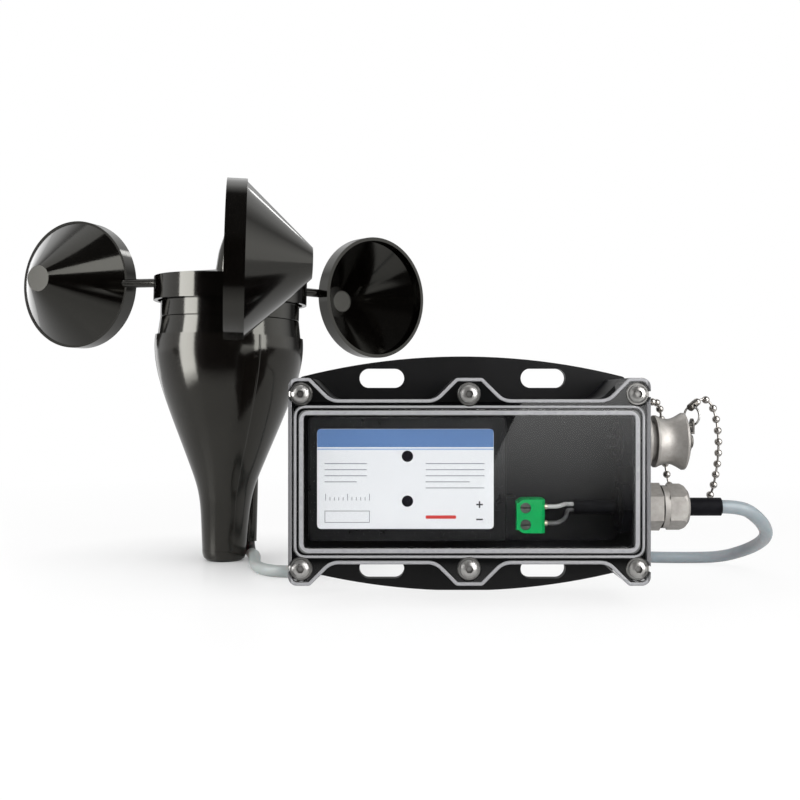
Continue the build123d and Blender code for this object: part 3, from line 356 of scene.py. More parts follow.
looks = {
    "steel": {
        "colour": (0.46, 0.455, 0.44), "second": (0.36, 0.35, 0.335), "patchSize": 260,
        "paintedCreviceShadeReach": 0.9,
        "wearSize": 900, "roughness": (0.26, 0.40), "grainSize": 5000, "grainDepth": 1.5e-5,
        "waveSize": 500, "waveDepth": 1e-5, "fixed": {"Metallic": 0.9},
    },
    "ferrite": {
        "colour": (0.05, 0.05, 0.053), "second": (0.085, 0.083, 0.08), "patchSize": 400,
        "wearSize": 700, "roughness": (0.45, 0.65), "grainSize": 6000, "grainDepth": 3e-5,
        "waveSize": 300, "waveDepth": 2e-5, "fixed": {"Metallic": 0.2},
    },
    "bronze": {
        "colour": (0.48, 0.30, 0.14), "second": (0.36, 0.22, 0.11), "patchSize": 500,
        "speck": (0.12, 0.07, 0.04), "speckSize": 4500,
        "wearSize": 900, "roughness": (0.32, 0.5), "grainSize": 7000, "grainDepth": 4e-5,
        "waveSize": 400, "waveDepth": 1e-5, "fixed": {"Metallic": 1.0},
    },
    "nylon": {
        "colour": (0.72, 0.70, 0.62), "second": (0.64, 0.61, 0.53), "patchSize": 200,
        "wearSize": 500, "roughness": (0.38, 0.5), "grainSize": 4000, "grainDepth": 1e-5,
        "waveSize": 250, "waveDepth": 2e-5, "fixed": {"Subsurface Weight": 0.08},
    },
    "soft_iron": {
        "colour": (0.42, 0.42, 0.43), "second": (0.30, 0.30, 0.31), "patchSize": 350,
        "wearSize": 600, "roughness": (0.35, 0.5), "grainSize": 3500, "grainDepth": 2e-5,
        "waveSize": 300, "waveDepth": 1e-5, "stretch": (1, 1, 9), "fixed": {"Metallic": 1.0},
    },
    "tinned_brass": {
        "colour": (0.66, 0.61, 0.50), "second": (0.55, 0.46, 0.30), "patchSize": 600,
        "wearSize": 900, "roughness": (0.25, 0.4), "grainSize": 5000, "grainDepth": 1.5e-5,
        "waveSize": 500, "waveDepth": 1e-5, "fixed": {"Metallic": 1.0},
    },
    "black_rubber": {
        "colour": (0.0022, 0.0022, 0.0032), "second": (0.0045, 0.0045, 0.0058),
        "patchSize": 260,
        "wearSize": 500, "roughness": (0.42, 0.6), "grainSize": 3500, "grainDepth": 3e-5,
        "waveSize": 300, "waveDepth": 2e-5, "fixed": {"Specular IOR Level": 0.06},
    },
    "brass": {
        "colour": (0.66, 0.49, 0.22), "second": (0.52, 0.37, 0.16), "patchSize": 450,
        "wearSize": 900, "roughness": (0.22, 0.36), "grainSize": 4500, "grainDepth": 1.5e-5,
        "waveSize": 500, "waveDepth": 1e-5, "fixed": {"Metallic": 1.0},
    },
    "module_black": {
        "colour": (0.0035, 0.0035, 0.0038), "second": (0.0060, 0.0060, 0.0064),
        "patchSize": 120,
        "wearSize": 240, "roughness": (0.26, 0.36), "grainSize": 4200, "grainDepth": 6e-6,
        "waveSize": 160, "waveDepth": 3e-5, "fixed": {"Specular IOR Level": 0.3},
    },
    "lens": {
        "colour": (0.006, 0.006, 0.008), "second": (0.012, 0.010, 0.014), "patchSize": 500,
        "wearSize": 600, "roughness": (0.06, 0.12), "grainSize": 3000, "grainDepth": 2e-6,
        "waveSize": 400, "waveDepth": 4e-6, "fixed": {"Coat Weight": 0.5},
    },
    "plug_green": {
        "colour": (0.002, 0.40, 0.10), "second": (0.002, 0.33, 0.08), "patchSize": 320,
        "wearSize": 500, "roughness": (0.24, 0.36), "grainSize": 4000, "grainDepth": 1.2e-5,
        "waveSize": 300, "waveDepth": 2e-5,
        "fixed": {"Subsurface Weight": 0.04, "Specular IOR Level": 0.16},
    },
    "wire_light": {
        "colour": (0.62, 0.62, 0.61), "second": (0.52, 0.52, 0.51), "patchSize": 500,
        "wearSize": 600, "roughness": (0.32, 0.44), "grainSize": 4500, "grainDepth": 1e-5,
        "waveSize": 500, "waveDepth": 1.5e-5,
    },
    "wire_dark": {
        "colour": (0.13, 0.13, 0.13), "second": (0.09, 0.09, 0.09), "patchSize": 500,
        "wearSize": 600, "roughness": (0.3, 0.42), "grainSize": 4500, "grainDepth": 1e-5,
        "waveSize": 500, "waveDepth": 1.5e-5,
    },
    "foam": {
        "colour": (0.06, 0.06, 0.062), "second": (0.09, 0.09, 0.09), "patchSize": 700,
        "wearSize": 800, "roughness": (0.75, 0.92), "grainSize": 2600, "grainDepth": 2e-4,
        "waveSize": 300, "waveDepth": 5e-5,
    },
    "nickel": {
        "colour": (0.40, 0.382, 0.36), "second": (0.285, 0.27, 0.252), "patchSize": 210,
        "paintedCreviceShadeReach": 1.2, "edge": 0.85, "paintedShadeInsideBox": 139.4,
        "speck": (0.30, 0.28, 0.25), "speckSize": 2600,
        "wearSize": 420, "roughness": (0.44, 0.58), "grainSize": 3800, "grainDepth": 2.2e-5,
        "waveSize": 260, "waveDepth": 3.5e-5, "fixed": {"Metallic": 0.64},
    },
    "chain_nickel": {
        "colour": (0.42, 0.40, 0.375), "second": (0.32, 0.30, 0.28), "patchSize": 420,
        "wearSize": 800, "roughness": (0.22, 0.34), "grainSize": 4200, "grainDepth": 1.2e-5,
        "waveSize": 500, "waveDepth": 1e-5, "fixed": {"Metallic": 1.0},
    },
    "clamp_steel": {
        "colour": (0.16, 0.157, 0.15), "second": (0.10, 0.098, 0.094), "patchSize": 420,
        "paintedCreviceShadeReach": 0.5,
        "wearSize": 800, "roughness": (0.34, 0.48), "grainSize": 4200, "grainDepth": 1.2e-5,
        "waveSize": 500, "waveDepth": 1e-5, "fixed": {"Metallic": 0.9},
    },
    "dark_metal": {
        "colour": (0.16, 0.15, 0.135), "second": (0.09, 0.085, 0.08), "patchSize": 420,
        "wearSize": 600, "roughness": (0.3, 0.45), "grainSize": 3800, "grainDepth": 2.5e-5,
        "waveSize": 300, "waveDepth": 2e-5, "fixed": {"Metallic": 1.0},
    },
    "battery": {
        "colour": (0.42, 0.45, 0.48), "second": (0.36, 0.39, 0.42), "patchSize": 90,
        "wearSize": 260, "roughness": (0.28, 0.42), "grainSize": 1800, "grainDepth": 1e-5,
        "waveSize": 150, "waveDepth": 6e-5, "fixed": {"Coat Weight": 0.3},
    },
}
finishes = {name: makeFinish(name, look) for name, look in looks.items()}


# Glossy black mouldings of the head: a polished skin with flow marks and settled dust.
headPlastic = {
    "colour": (0.0007, 0.0005, 0.0004), "second": (0.0015, 0.0011, 0.0009),
    "dust": (0.09, 0.085, 0.078), "dustAmount": 0.03,
    "roughness": (0.07, 0.15), "flowDepth": 6e-5, "grainDepth": 3e-6, "ior": 1.52,
}
cupTips = {  # the flat end of each cup is left dull from the mould
    "places": ((39.30, -64.95, 105.11), (40.75, 64.12, 105.07), (-71.72, 0.83, 108.01)),
    "radius": 5.05, "fade": 0.02, "colour": (0.038, 0.037, 0.034), "roughness": 0.42,
}
glossSkin = {
    "patchSize": 35, "dustSize": 420, "dustFade": (0.45, 0.75), "dustFacing": (0.2, 1.0),
    "smearSize": 60, "smearStretch": (1, 1, 0.35), "grainSize": 3000,
    "flowSize": 45, "flowStretch": (1, 1, 0.5),
    "seamLean": -0.0262, "seamFade": (0.004, 0.016), "seamDepth": 1.2e-4,
    "tint": (1.0, 0.985, 0.90, 1.0),
}


def makeGlossBlack(name, look, seamAzimuth=None):
    made, tree, shader = newMaterial(name)
    patches = between(tree, noiseAt(tree, glossSkin["patchSize"], 4, 0.6), 0, 1)
    colour = mixColour(tree, patches, look["colour"], look["second"])
    up = addNode(tree, "ShaderNodeSeparateXYZ", {
        0: addNode(tree, "ShaderNodeNewGeometry").outputs["Normal"]}).outputs[2]
    settled = math1(tree, "MULTIPLY", between(tree, up, 0, 1, *glossSkin["dustFacing"]),
                    between(tree, noiseAt(tree, glossSkin["dustSize"], 5, 0.7), 0, 1,
                            *glossSkin["dustFade"]))
    settled = math1(tree, "MULTIPLY", settled, look["dustAmount"])
    colour = mixColour(tree, settled, colour, look["dust"])
    smears = between(tree, noiseAt(tree, glossSkin["smearSize"], 5, 0.7,
                                   glossSkin["smearStretch"]), *look["roughness"])
    if name == "head_plastic":
        for place in cupTips["places"]:
            away = addNode(tree, "ShaderNodeVectorMath", {
                0: objectPlace(tree), 1: tuple(value * mm for value in place),
            }, operation="DISTANCE").outputs["Value"]
            dull = between(tree, away, 1, 0, (cupTips["radius"] - cupTips["fade"]) * mm,
                           (cupTips["radius"] + cupTips["fade"]) * mm)
            colour = mixColour(tree, dull, colour, cupTips["colour"])
            smears = math1(tree, "MULTIPLY_ADD", dull, cupTips["roughness"], smears)
    tree.links.new(colour, shader.inputs["Base Color"])
    tree.links.new(smears, shader.inputs["Roughness"])
    normal = bumped(tree, noiseAt(tree, glossSkin["grainSize"], 2, 0.5), look["grainDepth"])
    normal = bumped(tree, noiseAt(tree, glossSkin["flowSize"], 2, 0.5,
                                  glossSkin["flowStretch"]), look["flowDepth"], normal)
    if seamAzimuth is not None:
        parts = addNode(tree, "ShaderNodeSeparateXYZ", {0: objectPlace(tree)}).outputs
        lean = math1(tree, "MULTIPLY_ADD", parts[2], glossSkin["seamLean"], parts[0])
        angle = math1(tree, "ARCTAN2", parts[1], lean)
        off = math1(tree, "ABSOLUTE", math1(tree, "SUBTRACT", angle, math.radians(seamAzimuth)))
        line = between(tree, off, 1, 0, *glossSkin["seamFade"])
        normal = bumped(tree, line, glossSkin["seamDepth"], normal)
    tree.links.new(normal, shader.inputs["Normal"])
    setOn(shader, {"IOR": look["ior"], "Specular Tint": glossSkin["tint"]})
    return made


finishes["head_plastic"] = makeGlossBlack("head_plastic", headPlastic)
bootVinyl = {
    "colour": (0.0026, 0.0020, 0.0017), "second": (0.0044, 0.0035, 0.0029),
    "dust": (0.09, 0.085, 0.078), "dustAmount": 0.03,
    "roughness": (0.08, 0.17), "flowDepth": 1.6e-4, "grainDepth": 5e-6, "ior": 1.50,
    "seamAzimuth": -58.0,
}
finishes["boot_vinyl"] = makeGlossBlack("boot_vinyl", bootVinyl, bootVinyl["seamAzimuth"])


# The box's black moulding has a spark-eroded texture, seen as fine dull specks.
boxBlack = {
    "colour": (0.0030, 0.0030, 0.0033), "second": (0.0058, 0.0058, 0.0062),
    "roughness": (0.38, 0.52), "pitSize": 4200, "pitDepth": 4e-7,
    "grainSize": 5200, "toneFade": (0.6, 1.2), "toneShare": 0.15,
    "patchSize": 55, "patchShare": 0.6, "wearSize": 90, "waveSize": 60, "waveDepth": 4e-5,
    "gloss": 0.26,
}


def makeBoxBlack(name, look):
    made, tree, shader = newMaterial(name)
    where = objectPlace(tree)
    pits = addNode(tree, "ShaderNodeTexVoronoi", {"Vector": where, "Scale": look["pitSize"]},
                   feature="SMOOTH_F1").outputs["Distance"]
    fine = noiseAt(tree, look["grainSize"], 3, 0.6)
    grain = math1(tree, "ADD", pits, fine)
    tone = between(tree, grain, 0, 1, *look["toneFade"])
    broad = between(tree, noiseAt(tree, look["patchSize"], 4, 0.6), 0, look["patchShare"])
    share = math1(tree, "MULTIPLY_ADD", tone, look["toneShare"], broad, True)
    tree.links.new(mixColour(tree, share, look["colour"], look["second"]),
                   shader.inputs["Base Color"])
    tree.links.new(between(tree, noiseAt(tree, look["wearSize"], 5, 0.7), *look["roughness"]),
                   shader.inputs["Roughness"])
    normal = bumped(tree, grain, look["pitDepth"])
    tree.links.new(bumped(tree, noiseAt(tree, look["waveSize"], 2, 0.5), look["waveDepth"],
                          normal), shader.inputs["Normal"])
    setOn(shader, {"Specular IOR Level": look["gloss"]})
    return made


finishes["box_black"] = makeBoxBlack("box_black", boxBlack)


# Clear lid: polished polycarbonate, with rounded frosted crests on the two ribs and the edge
# bead, painted with a highlight along their middle and with shade on their flanks, and a fine
# texture on the lobes outside the ribs.
clearLid = {
    "tint": (0.985, 0.99, 0.99), "crest": (0.225, 0.225, 0.24), "flankPaintedShade": (0.012, 0.012, 0.013),
    "centre": (87.6, 37.527), "crestFront": -97.62, "crestFade": 0.06,
    "frosted": (0.105, 0.105, 0.11), "frostedFrom": 51.55, "frostedFade": 0.2,
    "outerRib": (50.45, 21.7, 3.4), "innerRib": (48.68, 19.98, 2.6),
    "outerLine": (0.22, 0.42), "innerLine": (0.42, 0.74), "beadLine": (0.9, 1.0),
    "roughness": (0.012, 0.04), "crestRoughness": 0.34, "rounding": 0.70, "ior": 1.585,
    "topFacing": (0.84, 0.98), "haze": (0.86, 1.0), "hazeSize": 900,
    "flankPaintedShadeShare": 0.8, "flankBody": 0.5, "smearSize": 70,
    "waveSize": 40, "waveDepth": 1e-5, "frostSize": 2400, "frostDepth": 2e-5,
    "shadowThrough": 0.92, "shadowTint": (0.96, 0.965, 0.97, 1),
}


# Distance from a rounded rectangle's line, in metres, in the plane of the lid.
def ribDistance(tree, parts, rib):
    halfX, halfZ, r = [value * mm for value in rib]
    off = []
    for index, half in ((0, halfX), (1, halfZ)):
        centre = clearLid["centre"][index] * mm
        flat = math1(tree, "ABSOLUTE", math1(tree, "SUBTRACT", parts[2 * index], centre))
        off.append(math1(tree, "SUBTRACT", flat, half - r))
    outX, outZ = [math1(tree, "MAXIMUM", value, 0.0) for value in off]
    out = math1(tree, "SQRT", math1(tree, "ADD", math1(tree, "MULTIPLY", outX, outX),
                                   math1(tree, "MULTIPLY", outZ, outZ)))
    inside = math1(tree, "MINIMUM", math1(tree, "MAXIMUM", off[0], off[1]), 0.0)
    return math1(tree, "SUBTRACT", math1(tree, "ADD", out, inside), r)


def makeClear(name, look):
    made, tree, shader = newMaterial(name)
    parts = addNode(tree, "ShaderNodeSeparateXYZ", {0: objectPlace(tree)}).outputs
    raised = between(tree, parts[1], 1, 0, (look["crestFront"] - look["crestFade"]) * mm,
                     (look["crestFront"] + look["crestFade"]) * mm)
    outer = ribDistance(tree, parts, look["outerRib"])
    inner = ribDistance(tree, parts, look["innerRib"])
    outerLine = between(tree, math1(tree, "ABSOLUTE", outer), 1, 0,
                        *[value * mm for value in look["outerLine"]])
    innerLine = between(tree, math1(tree, "ABSOLUTE", inner), 1, 0,
                        *[value * mm for value in look["innerLine"]])
    beadZone = between(tree, outer, 0, 1, *[value * mm for value in look["beadLine"]])
    lines = math1(tree, "MAXIMUM", math1(tree, "MAXIMUM", outerLine, innerLine), beadZone)
    round1 = addNode(tree, "ShaderNodeBevel", {"Radius": look["rounding"] * mm},
                     samples=6).outputs[0]
    flat = addNode(tree, "ShaderNodeNewGeometry").outputs["True Normal"]
    top = addNode(tree, "ShaderNodeVectorMath", {0: round1, 1: flat},
                  operation="DOT_PRODUCT").outputs["Value"]
    top = between(tree, top, 0, 1, *look["topFacing"])
    haze = between(tree, noiseAt(tree, look["hazeSize"], 3, 0.6), *look["haze"])
    beside = math1(tree, "ABSOLUTE", math1(tree, "SUBTRACT", parts[0],
                                           look["centre"][0] * mm))
    crest = math1(tree, "MULTIPLY", math1(tree, "MULTIPLY", raised, lines), haze)
    # Painted highlight on the flat middle of each crest; painted shade on its rounded flanks.
    lit = math1(tree, "MULTIPLY", crest, top)
    sides = math1(tree, "SUBTRACT", raised, lit, 0, True)
    colour = mixColour(tree, lit, look["tint"], look["crest"])
    colour = mixColour(tree, math1(tree, "MULTIPLY", sides, look["flankPaintedShadeShare"]), colour,
                       look["flankPaintedShade"])
    rim = between(tree, beside, 0, 1, look["frostedFrom"] * mm,
                  (look["frostedFrom"] + look["frostedFade"]) * mm)
    colour = mixColour(tree, rim, colour, look["frosted"])
    tree.links.new(colour, shader.inputs["Base Color"])
    smears = between(tree, noiseAt(tree, look["smearSize"], 5, 0.7), *look["roughness"])
    rough = math1(tree, "MULTIPLY_ADD", rim, look["crestRoughness"], smears, True)
    tree.links.new(math1(tree, "MULTIPLY_ADD", crest, look["crestRoughness"], rough, True),
                   shader.inputs["Roughness"])
    solid = math1(tree, "MULTIPLY_ADD", sides, look["flankBody"], lit, True)
    solid = math1(tree, "MAXIMUM", solid, rim)
    tree.links.new(math1(tree, "SUBTRACT", 1.0, solid, 0, True),
                   shader.inputs["Transmission Weight"])
    still = bumped(tree, noiseAt(tree, look["waveSize"], 1, 0.5), look["waveDepth"])
    mixed = addNode(tree, "ShaderNodeMix", data_type="VECTOR")
    frost = bumped(tree, noiseAt(tree, look["frostSize"], 3, 0.6), look["frostDepth"], round1)
    for index, value in ((0, crest), (4, still), (5, frost)):
        tree.links.new(value, mixed.inputs[index])
    tree.links.new(mixed.outputs[1], shader.inputs["Normal"])
    setOn(shader, {"IOR": look["ior"]})
    output = tree.nodes["Material Output"]
    shadow = addNode(tree, "ShaderNodeLightPath").outputs["Is Shadow Ray"]
    through = addNode(tree, "ShaderNodeBsdfTransparent", {"Color": look["shadowTint"]})
    both = addNode(tree, "ShaderNodeMixShader", {
        0: math1(tree, "MULTIPLY", shadow, look["shadowThrough"]), 1: shader.outputs[0],
        2: through.outputs[0]})
    tree.links.new(both.outputs[0], output.inputs["Surface"])
    return made


finishes["clear_lid"] = makeClear("clear_lid", clearLid)


# Cable: light blue-grey vinyl, a little uneven where it was drawn over the twisted wires.
cableJacket = {
    "colour": (0.178, 0.218, 0.238), "second": (0.218, 0.258, 0.278),
    "patchSize": 90, "wearSize": 160, "roughness": (0.34, 0.48), "softness": 0.05,
    "scuff": (0.15, 0.18, 0.20), "scuffSize": 700, "scuffShare": 0.5, "scuffFade": (0.62, 0.75),
    "paintedLight": (0.40, 0.43, 0.42), "paintedLightShare": 0.85, "paintedLightFrom": 20.0,
    "paintedLightTo": 62.0,
    "moulded": (0.004, 0.004, 0.004), "mouldedTo": 14.0, "mouldedFrom": 2.0,
    "mouldedFade": (0.4, 0.2),
    "grainSize": 4200, "grainDepth": 1.2e-5, "waveSize": 220, "waveDepth": 9e-5,
}


def makeJacket(name, look):
    made, tree, shader = newMaterial(name)
    patches = between(tree, noiseAt(tree, look["patchSize"], 4, 0.6), 0, 1)
    colour = mixColour(tree, patches, look["colour"], look["second"])
    scuffs = between(tree, noiseAt(tree, look["scuffSize"], 6, 0.75, (0.4, 0.4, 1)), 0,
                     look["scuffShare"], *look["scuffFade"])
    colour = mixColour(tree, scuffs, colour, look["scuff"])
    parts = addNode(tree, "ShaderNodeSeparateXYZ", {0: objectPlace(tree)}).outputs
    # Painted light: the jacket is painted paler towards its left end.
    pale = between(tree, parts[0], look["paintedLightShare"], 0, look["paintedLightFrom"] * mm,
                   look["paintedLightTo"] * mm)
    colour = mixColour(tree, pale, colour, look["paintedLight"])
    # The jacket is painted black left of X 14 mm and behind Y 2 mm, where it goes in under the
    # boot.
    fadeRight, fadeFront = look["mouldedFade"]
    nearHead = between(tree, parts[0], 1, 0, look["mouldedTo"] * mm,
                       (look["mouldedTo"] + fadeRight) * mm)
    behind = between(tree, parts[1], 0, 1, (look["mouldedFrom"] - fadeFront) * mm,
                     look["mouldedFrom"] * mm)
    colour = mixColour(tree, math1(tree, "MULTIPLY", nearHead, behind), colour,
                       look["moulded"])
    tree.links.new(colour, shader.inputs["Base Color"])
    tree.links.new(between(tree, noiseAt(tree, look["wearSize"], 5, 0.7), *look["roughness"]),
                   shader.inputs["Roughness"])
    normal = bumped(tree, noiseAt(tree, look["grainSize"], 2, 0.5), look["grainDepth"])
    tree.links.new(bumped(tree, noiseAt(tree, look["waveSize"], 2, 0.5), look["waveDepth"],
                          normal), shader.inputs["Normal"])
    setOn(shader, {"Subsurface Weight": look["softness"]})
    return made


finishes["cable_jacket"] = makeJacket("cable_jacket", cableJacket)


# Fine enamelled wire, wound in turns side by side along the bobbin.
copperWire = {
    "colour": (0.52, 0.20, 0.08), "second": (0.30, 0.10, 0.04), "turnsPerMetre": 5200,
    "unevenness": 0.6, "turnDepth": 1.2e-4, "wearSize": 800, "roughness": (0.22, 0.36),
    "fixed": {"Metallic": 0.75, "Coat Weight": 0.6},
}


def makeWinding(name, look):
    made, tree, shader = newMaterial(name)
    wave = addNode(tree, "ShaderNodeTexWave", {
        "Vector": objectPlace(tree), "Scale": look["turnsPerMetre"] / 20,
        "Distortion": look["unevenness"], "Detail": 1.0, "Detail Scale": 2.0,
    }, bands_direction="X").outputs["Fac"]
    tree.links.new(mixColour(tree, wave, look["second"], look["colour"]),
                   shader.inputs["Base Color"])
    tree.links.new(between(tree, noiseAt(tree, look["wearSize"], 3, 0.6), *look["roughness"]),
                   shader.inputs["Roughness"])
    tree.links.new(bumped(tree, wave, look["turnDepth"]), shader.inputs["Normal"])
    setOn(shader, look["fixed"])
    return made


finishes["copper"] = makeWinding("copper", copperWire)


# Circuit board: solder mask with tracks under it.
boardLook = {
    "mask": (0.012, 0.10, 0.035), "track": (0.03, 0.20, 0.07), "cellSize": 420.0,
    "cellSpread": 0.6, "trackFade": (0.06, 0.10), "trackDepth": 4e-5,
    "wearSize": 500, "roughness": (0.25, 0.38), "coat": 0.4,
}


def makeBoard(name, look):
    made, tree, shader = newMaterial(name)
    cells = addNode(tree, "ShaderNodeTexVoronoi", {
        "Vector": objectPlace(tree), "Scale": look["cellSize"],
        "Randomness": look["cellSpread"],
    }, feature="DISTANCE_TO_EDGE", distance="EUCLIDEAN").outputs["Distance"]
    track = between(tree, cells, 1, 0, *look["trackFade"])
    tree.links.new(mixColour(tree, track, look["mask"], look["track"]),
                   shader.inputs["Base Color"])
    tree.links.new(between(tree, noiseAt(tree, look["wearSize"], 3, 0.6), *look["roughness"]),
                   shader.inputs["Roughness"])
    tree.links.new(bumped(tree, track, look["trackDepth"]), shader.inputs["Normal"])
    setOn(shader, {"Coat Weight": look["coat"]})
    return made


finishes["board"] = makeBoard("board", boardLook)


# Printed film of the label and its inks.
printSkin = {
    "fibreSize": 1500, "wearSize": 110, "wearSpread": 0.12,
    "grainSize": 5200, "grainDepth": 8e-6, "waveSize": 70, "waveDepth": 5e-5,
    "film": (0.86, 0.87, 0.89), "filmSecond": (0.81, 0.82, 0.84), "filmRoughness": 0.28,
    "inkRoughness": 0.3, "inkSecond": 0.9,
}


def makePrint(name, colour, second, rough):
    made, tree, shader = newMaterial(name)
    fibres = between(tree, noiseAt(tree, printSkin["fibreSize"], 5, 0.7), 0, 1)
    tree.links.new(mixColour(tree, fibres, colour, second), shader.inputs["Base Color"])
    tree.links.new(between(tree, noiseAt(tree, printSkin["wearSize"], 4, 0.6), rough,
                           rough + printSkin["wearSpread"]), shader.inputs["Roughness"])
    normal = bumped(tree, noiseAt(tree, printSkin["grainSize"], 2, 0.5),
                    printSkin["grainDepth"])
    tree.links.new(bumped(tree, noiseAt(tree, printSkin["waveSize"], 1, 0.5),
                          printSkin["waveDepth"], normal), shader.inputs["Normal"])
    return made


finishes["label"] = makePrint("label", printSkin["film"], printSkin["filmSecond"],
                              printSkin["filmRoughness"])
print("stage: materials,", len(finishes))

# Every carried-over node takes the finish of its slot.
nodeSlots = {part["node"]: part["material_slot"] for part in frame["record"]["subparts"]}
for nodeName, obj in nodes.items():
    for slotHolder in obj.material_slots:
        slotHolder.material = finishes[nodeSlots[nodeName]]
for nodeName in ("cable_in_gland", "gland_locknut", "port_locknut"):
    nodes[nodeName].material_slots[0].material = finishes["black_rubber"]
nodes["clamp_screws"].material_slots[0].material = finishes["clamp_steel"]
cable.data.materials.clear()
cable.data.materials.append(finishes["cable_jacket"])
for piece in (chain, *(ball for ball, place in slackBalls)):
    piece.data.materials.append(finishes["chain_nickel"])


# label print
labelPrint = {
    "centre": (69.1, 37.827), "half": (26.15, 14.8), "face": -90.2, "ink": 0.03,
    "blue": (0.105, 0.215, 0.46), "paleBlue": (0.36, 0.50, 0.72), "grey": (0.30, 0.31, 0.33),
    "dark": (0.02, 0.02, 0.025), "red": (0.62, 0.035, 0.03),
    "border": 0.05, "bandFoot": 5.4, "bandCorner": 0.9, "pinstripe": (5.8, 6.2),
    "ruleWidth": 0.28, "ruleInset": 2.2, "rightColumn": 6.0,
    "leftRules": ((4.4, 12.5), (2.6, 12.5), (0.8, 12.5), (-1.0, 9.5)),
    "rightRules": ((4.4, 17.4), (2.6, 17.4), (0.8, 17.4), (-1.0, 13.0), (-2.8, 17.4)),
    "frame": (15.6, 1.8, 5.4, 0.22),  # right end from the left, foot, head, width of the bars
    "scale": (2.4, 1.3, 0.22), "scaleFoot": -6.4, "scaleHead": (-4.4, -5.4), "scaleMarks": 11,
    "signs": (4.2, 7.2), "signReach": 1.0, "signHalf": 0.22, "signPitch": 4.4,
    "accent": (9.0, 3.0, 4.0), "accentCorner": 0.3,
}


def addInk(name, outlines, colour):
    bm = bmesh.new()
    cx, cz = labelPrint["centre"]
    for outline in outlines:
        back = [bm.verts.new(((cx + x) * mm, labelPrint["face"] * mm, (cz + z) * mm))
                for x, z in outline]
        front = [bm.verts.new((v.co.x, (labelPrint["face"] - labelPrint["ink"]) * mm, v.co.z))
                 for v in back]
        bm.faces.new(front)
        bm.faces.new(back[::-1])
        for i in range(len(back)):
            k = (i + 1) % len(back)
            bm.faces.new((back[i], back[k], front[k], front[i]))
    obj = addMesh(name, bm, smooth=False)
    second = tuple(value * printSkin["inkSecond"] for value in colour)
    obj.data.materials.append(makePrint(name, colour, second, printSkin["inkRoughness"]))
    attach(obj, "base")
    return obj


def rounded(x0, z0, x1, z1, radii, steps=6):
    points = []
    corners = ((x1, z1, 0), (x0, z1, 90), (x0, z0, 180), (x1, z0, 270))
    for (x, z, start), r in zip(corners, radii):
        if r == 0:
            points.append((x, z))
            continue
        ox = x - r if x == x1 else x + r
        oz = z - r if z == z1 else z + r
        for i in range(steps + 1):
            a = math.radians(start + 90 * i / steps)
            points.append((ox + r * math.cos(a), oz + r * math.sin(a)))
    return points


def bar(x0, z0, x1, z1, r=0):
    return rounded(x0, z0, x1, z1, (r, r, r, r))


def frameBars(x0, z0, x1, z1, w):
    return [bar(x0, z0, x1, z0 + w), bar(x0, z1 - w, x1, z1),
            bar(x0, z0 + w, x0 + w, z1 - w), bar(x1 - w, z0 + w, x1, z1 - w)]


halfW, halfH = labelPrint["half"]
border = labelPrint["border"]
addInk("label_band", [
    rounded(-halfW + border, halfH - labelPrint["bandFoot"], halfW - border, halfH - border,
            (labelPrint["bandCorner"], labelPrint["bandCorner"], 0, 0)),
], labelPrint["blue"])
stripeTop, stripeFoot = labelPrint["pinstripe"]
addInk("label_pinstripe", [
    bar(-halfW + border, halfH - stripeFoot, halfW - border, halfH - stripeTop),
], labelPrint["paleBlue"])

left, right = -halfW + labelPrint["ruleInset"], labelPrint["rightColumn"]
thick = labelPrint["ruleWidth"]
ruleRows = [bar(left, z, left + w, z + thick) for z, w in labelPrint["leftRules"]]
ruleRows += [bar(right, z, right + w, z + thick) for z, w in labelPrint["rightRules"]]
frameEnd, frameFoot, frameHead, frameBar = labelPrint["frame"]
ruleRows += frameBars(left, -halfH + frameFoot, -halfW + frameEnd, -halfH + frameHead, frameBar)
markStart, markPitch, markWidth = labelPrint["scale"]
longMark, shortMark = labelPrint["scaleHead"]
for i in range(labelPrint["scaleMarks"]):
    x = -halfW + markStart + markPitch * i
    ruleRows.append(bar(x, labelPrint["scaleFoot"], x + markWidth,
                        longMark if i % 5 == 0 else shortMark))
addInk("label_rules", ruleRows, labelPrint["grey"])

px, pz = halfW - labelPrint["signs"][0], -halfH + labelPrint["signs"][1]
reach, half, drop = labelPrint["signReach"], labelPrint["signHalf"], labelPrint["signPitch"]
addInk("label_signs", [
    bar(px - reach, pz - half, px + reach, pz + half),
    bar(px - half, pz + half, px + half, pz + reach),
    bar(px - half, pz - reach, px + half, pz - half),
    bar(px - reach, pz - drop - half, px + reach, pz - drop + half),
], labelPrint["dark"])
accentLength, accentFoot, accentHead = labelPrint["accent"]
addInk("label_accent", [
    bar(right, -halfH + accentFoot, right + accentLength, -halfH + accentHead,
        labelPrint["accentCorner"]),
], labelPrint["red"])
print("stage: label print")


# floor
floorLook = {
    "half": 4.0, "place": (0.07, 0.0, 0.0), "colour": (0.95, 0.95, 0.95),
    "fixed": {"Roughness": 0.30, "Specular IOR Level": 0.35},
    "fadeStart": 0.16, "fadeEnd": 0.45, "shadowShare": 0.16,
    "bootPlace": (-0.07, 0.0, 0.0), "bootReach": (0.012, 0.085), "bootShare": 0.90,
    "flagFrom": -0.12, "flagTo": -0.19, "flagDark": 0.97, "mirroredLevel": 0.72,
}


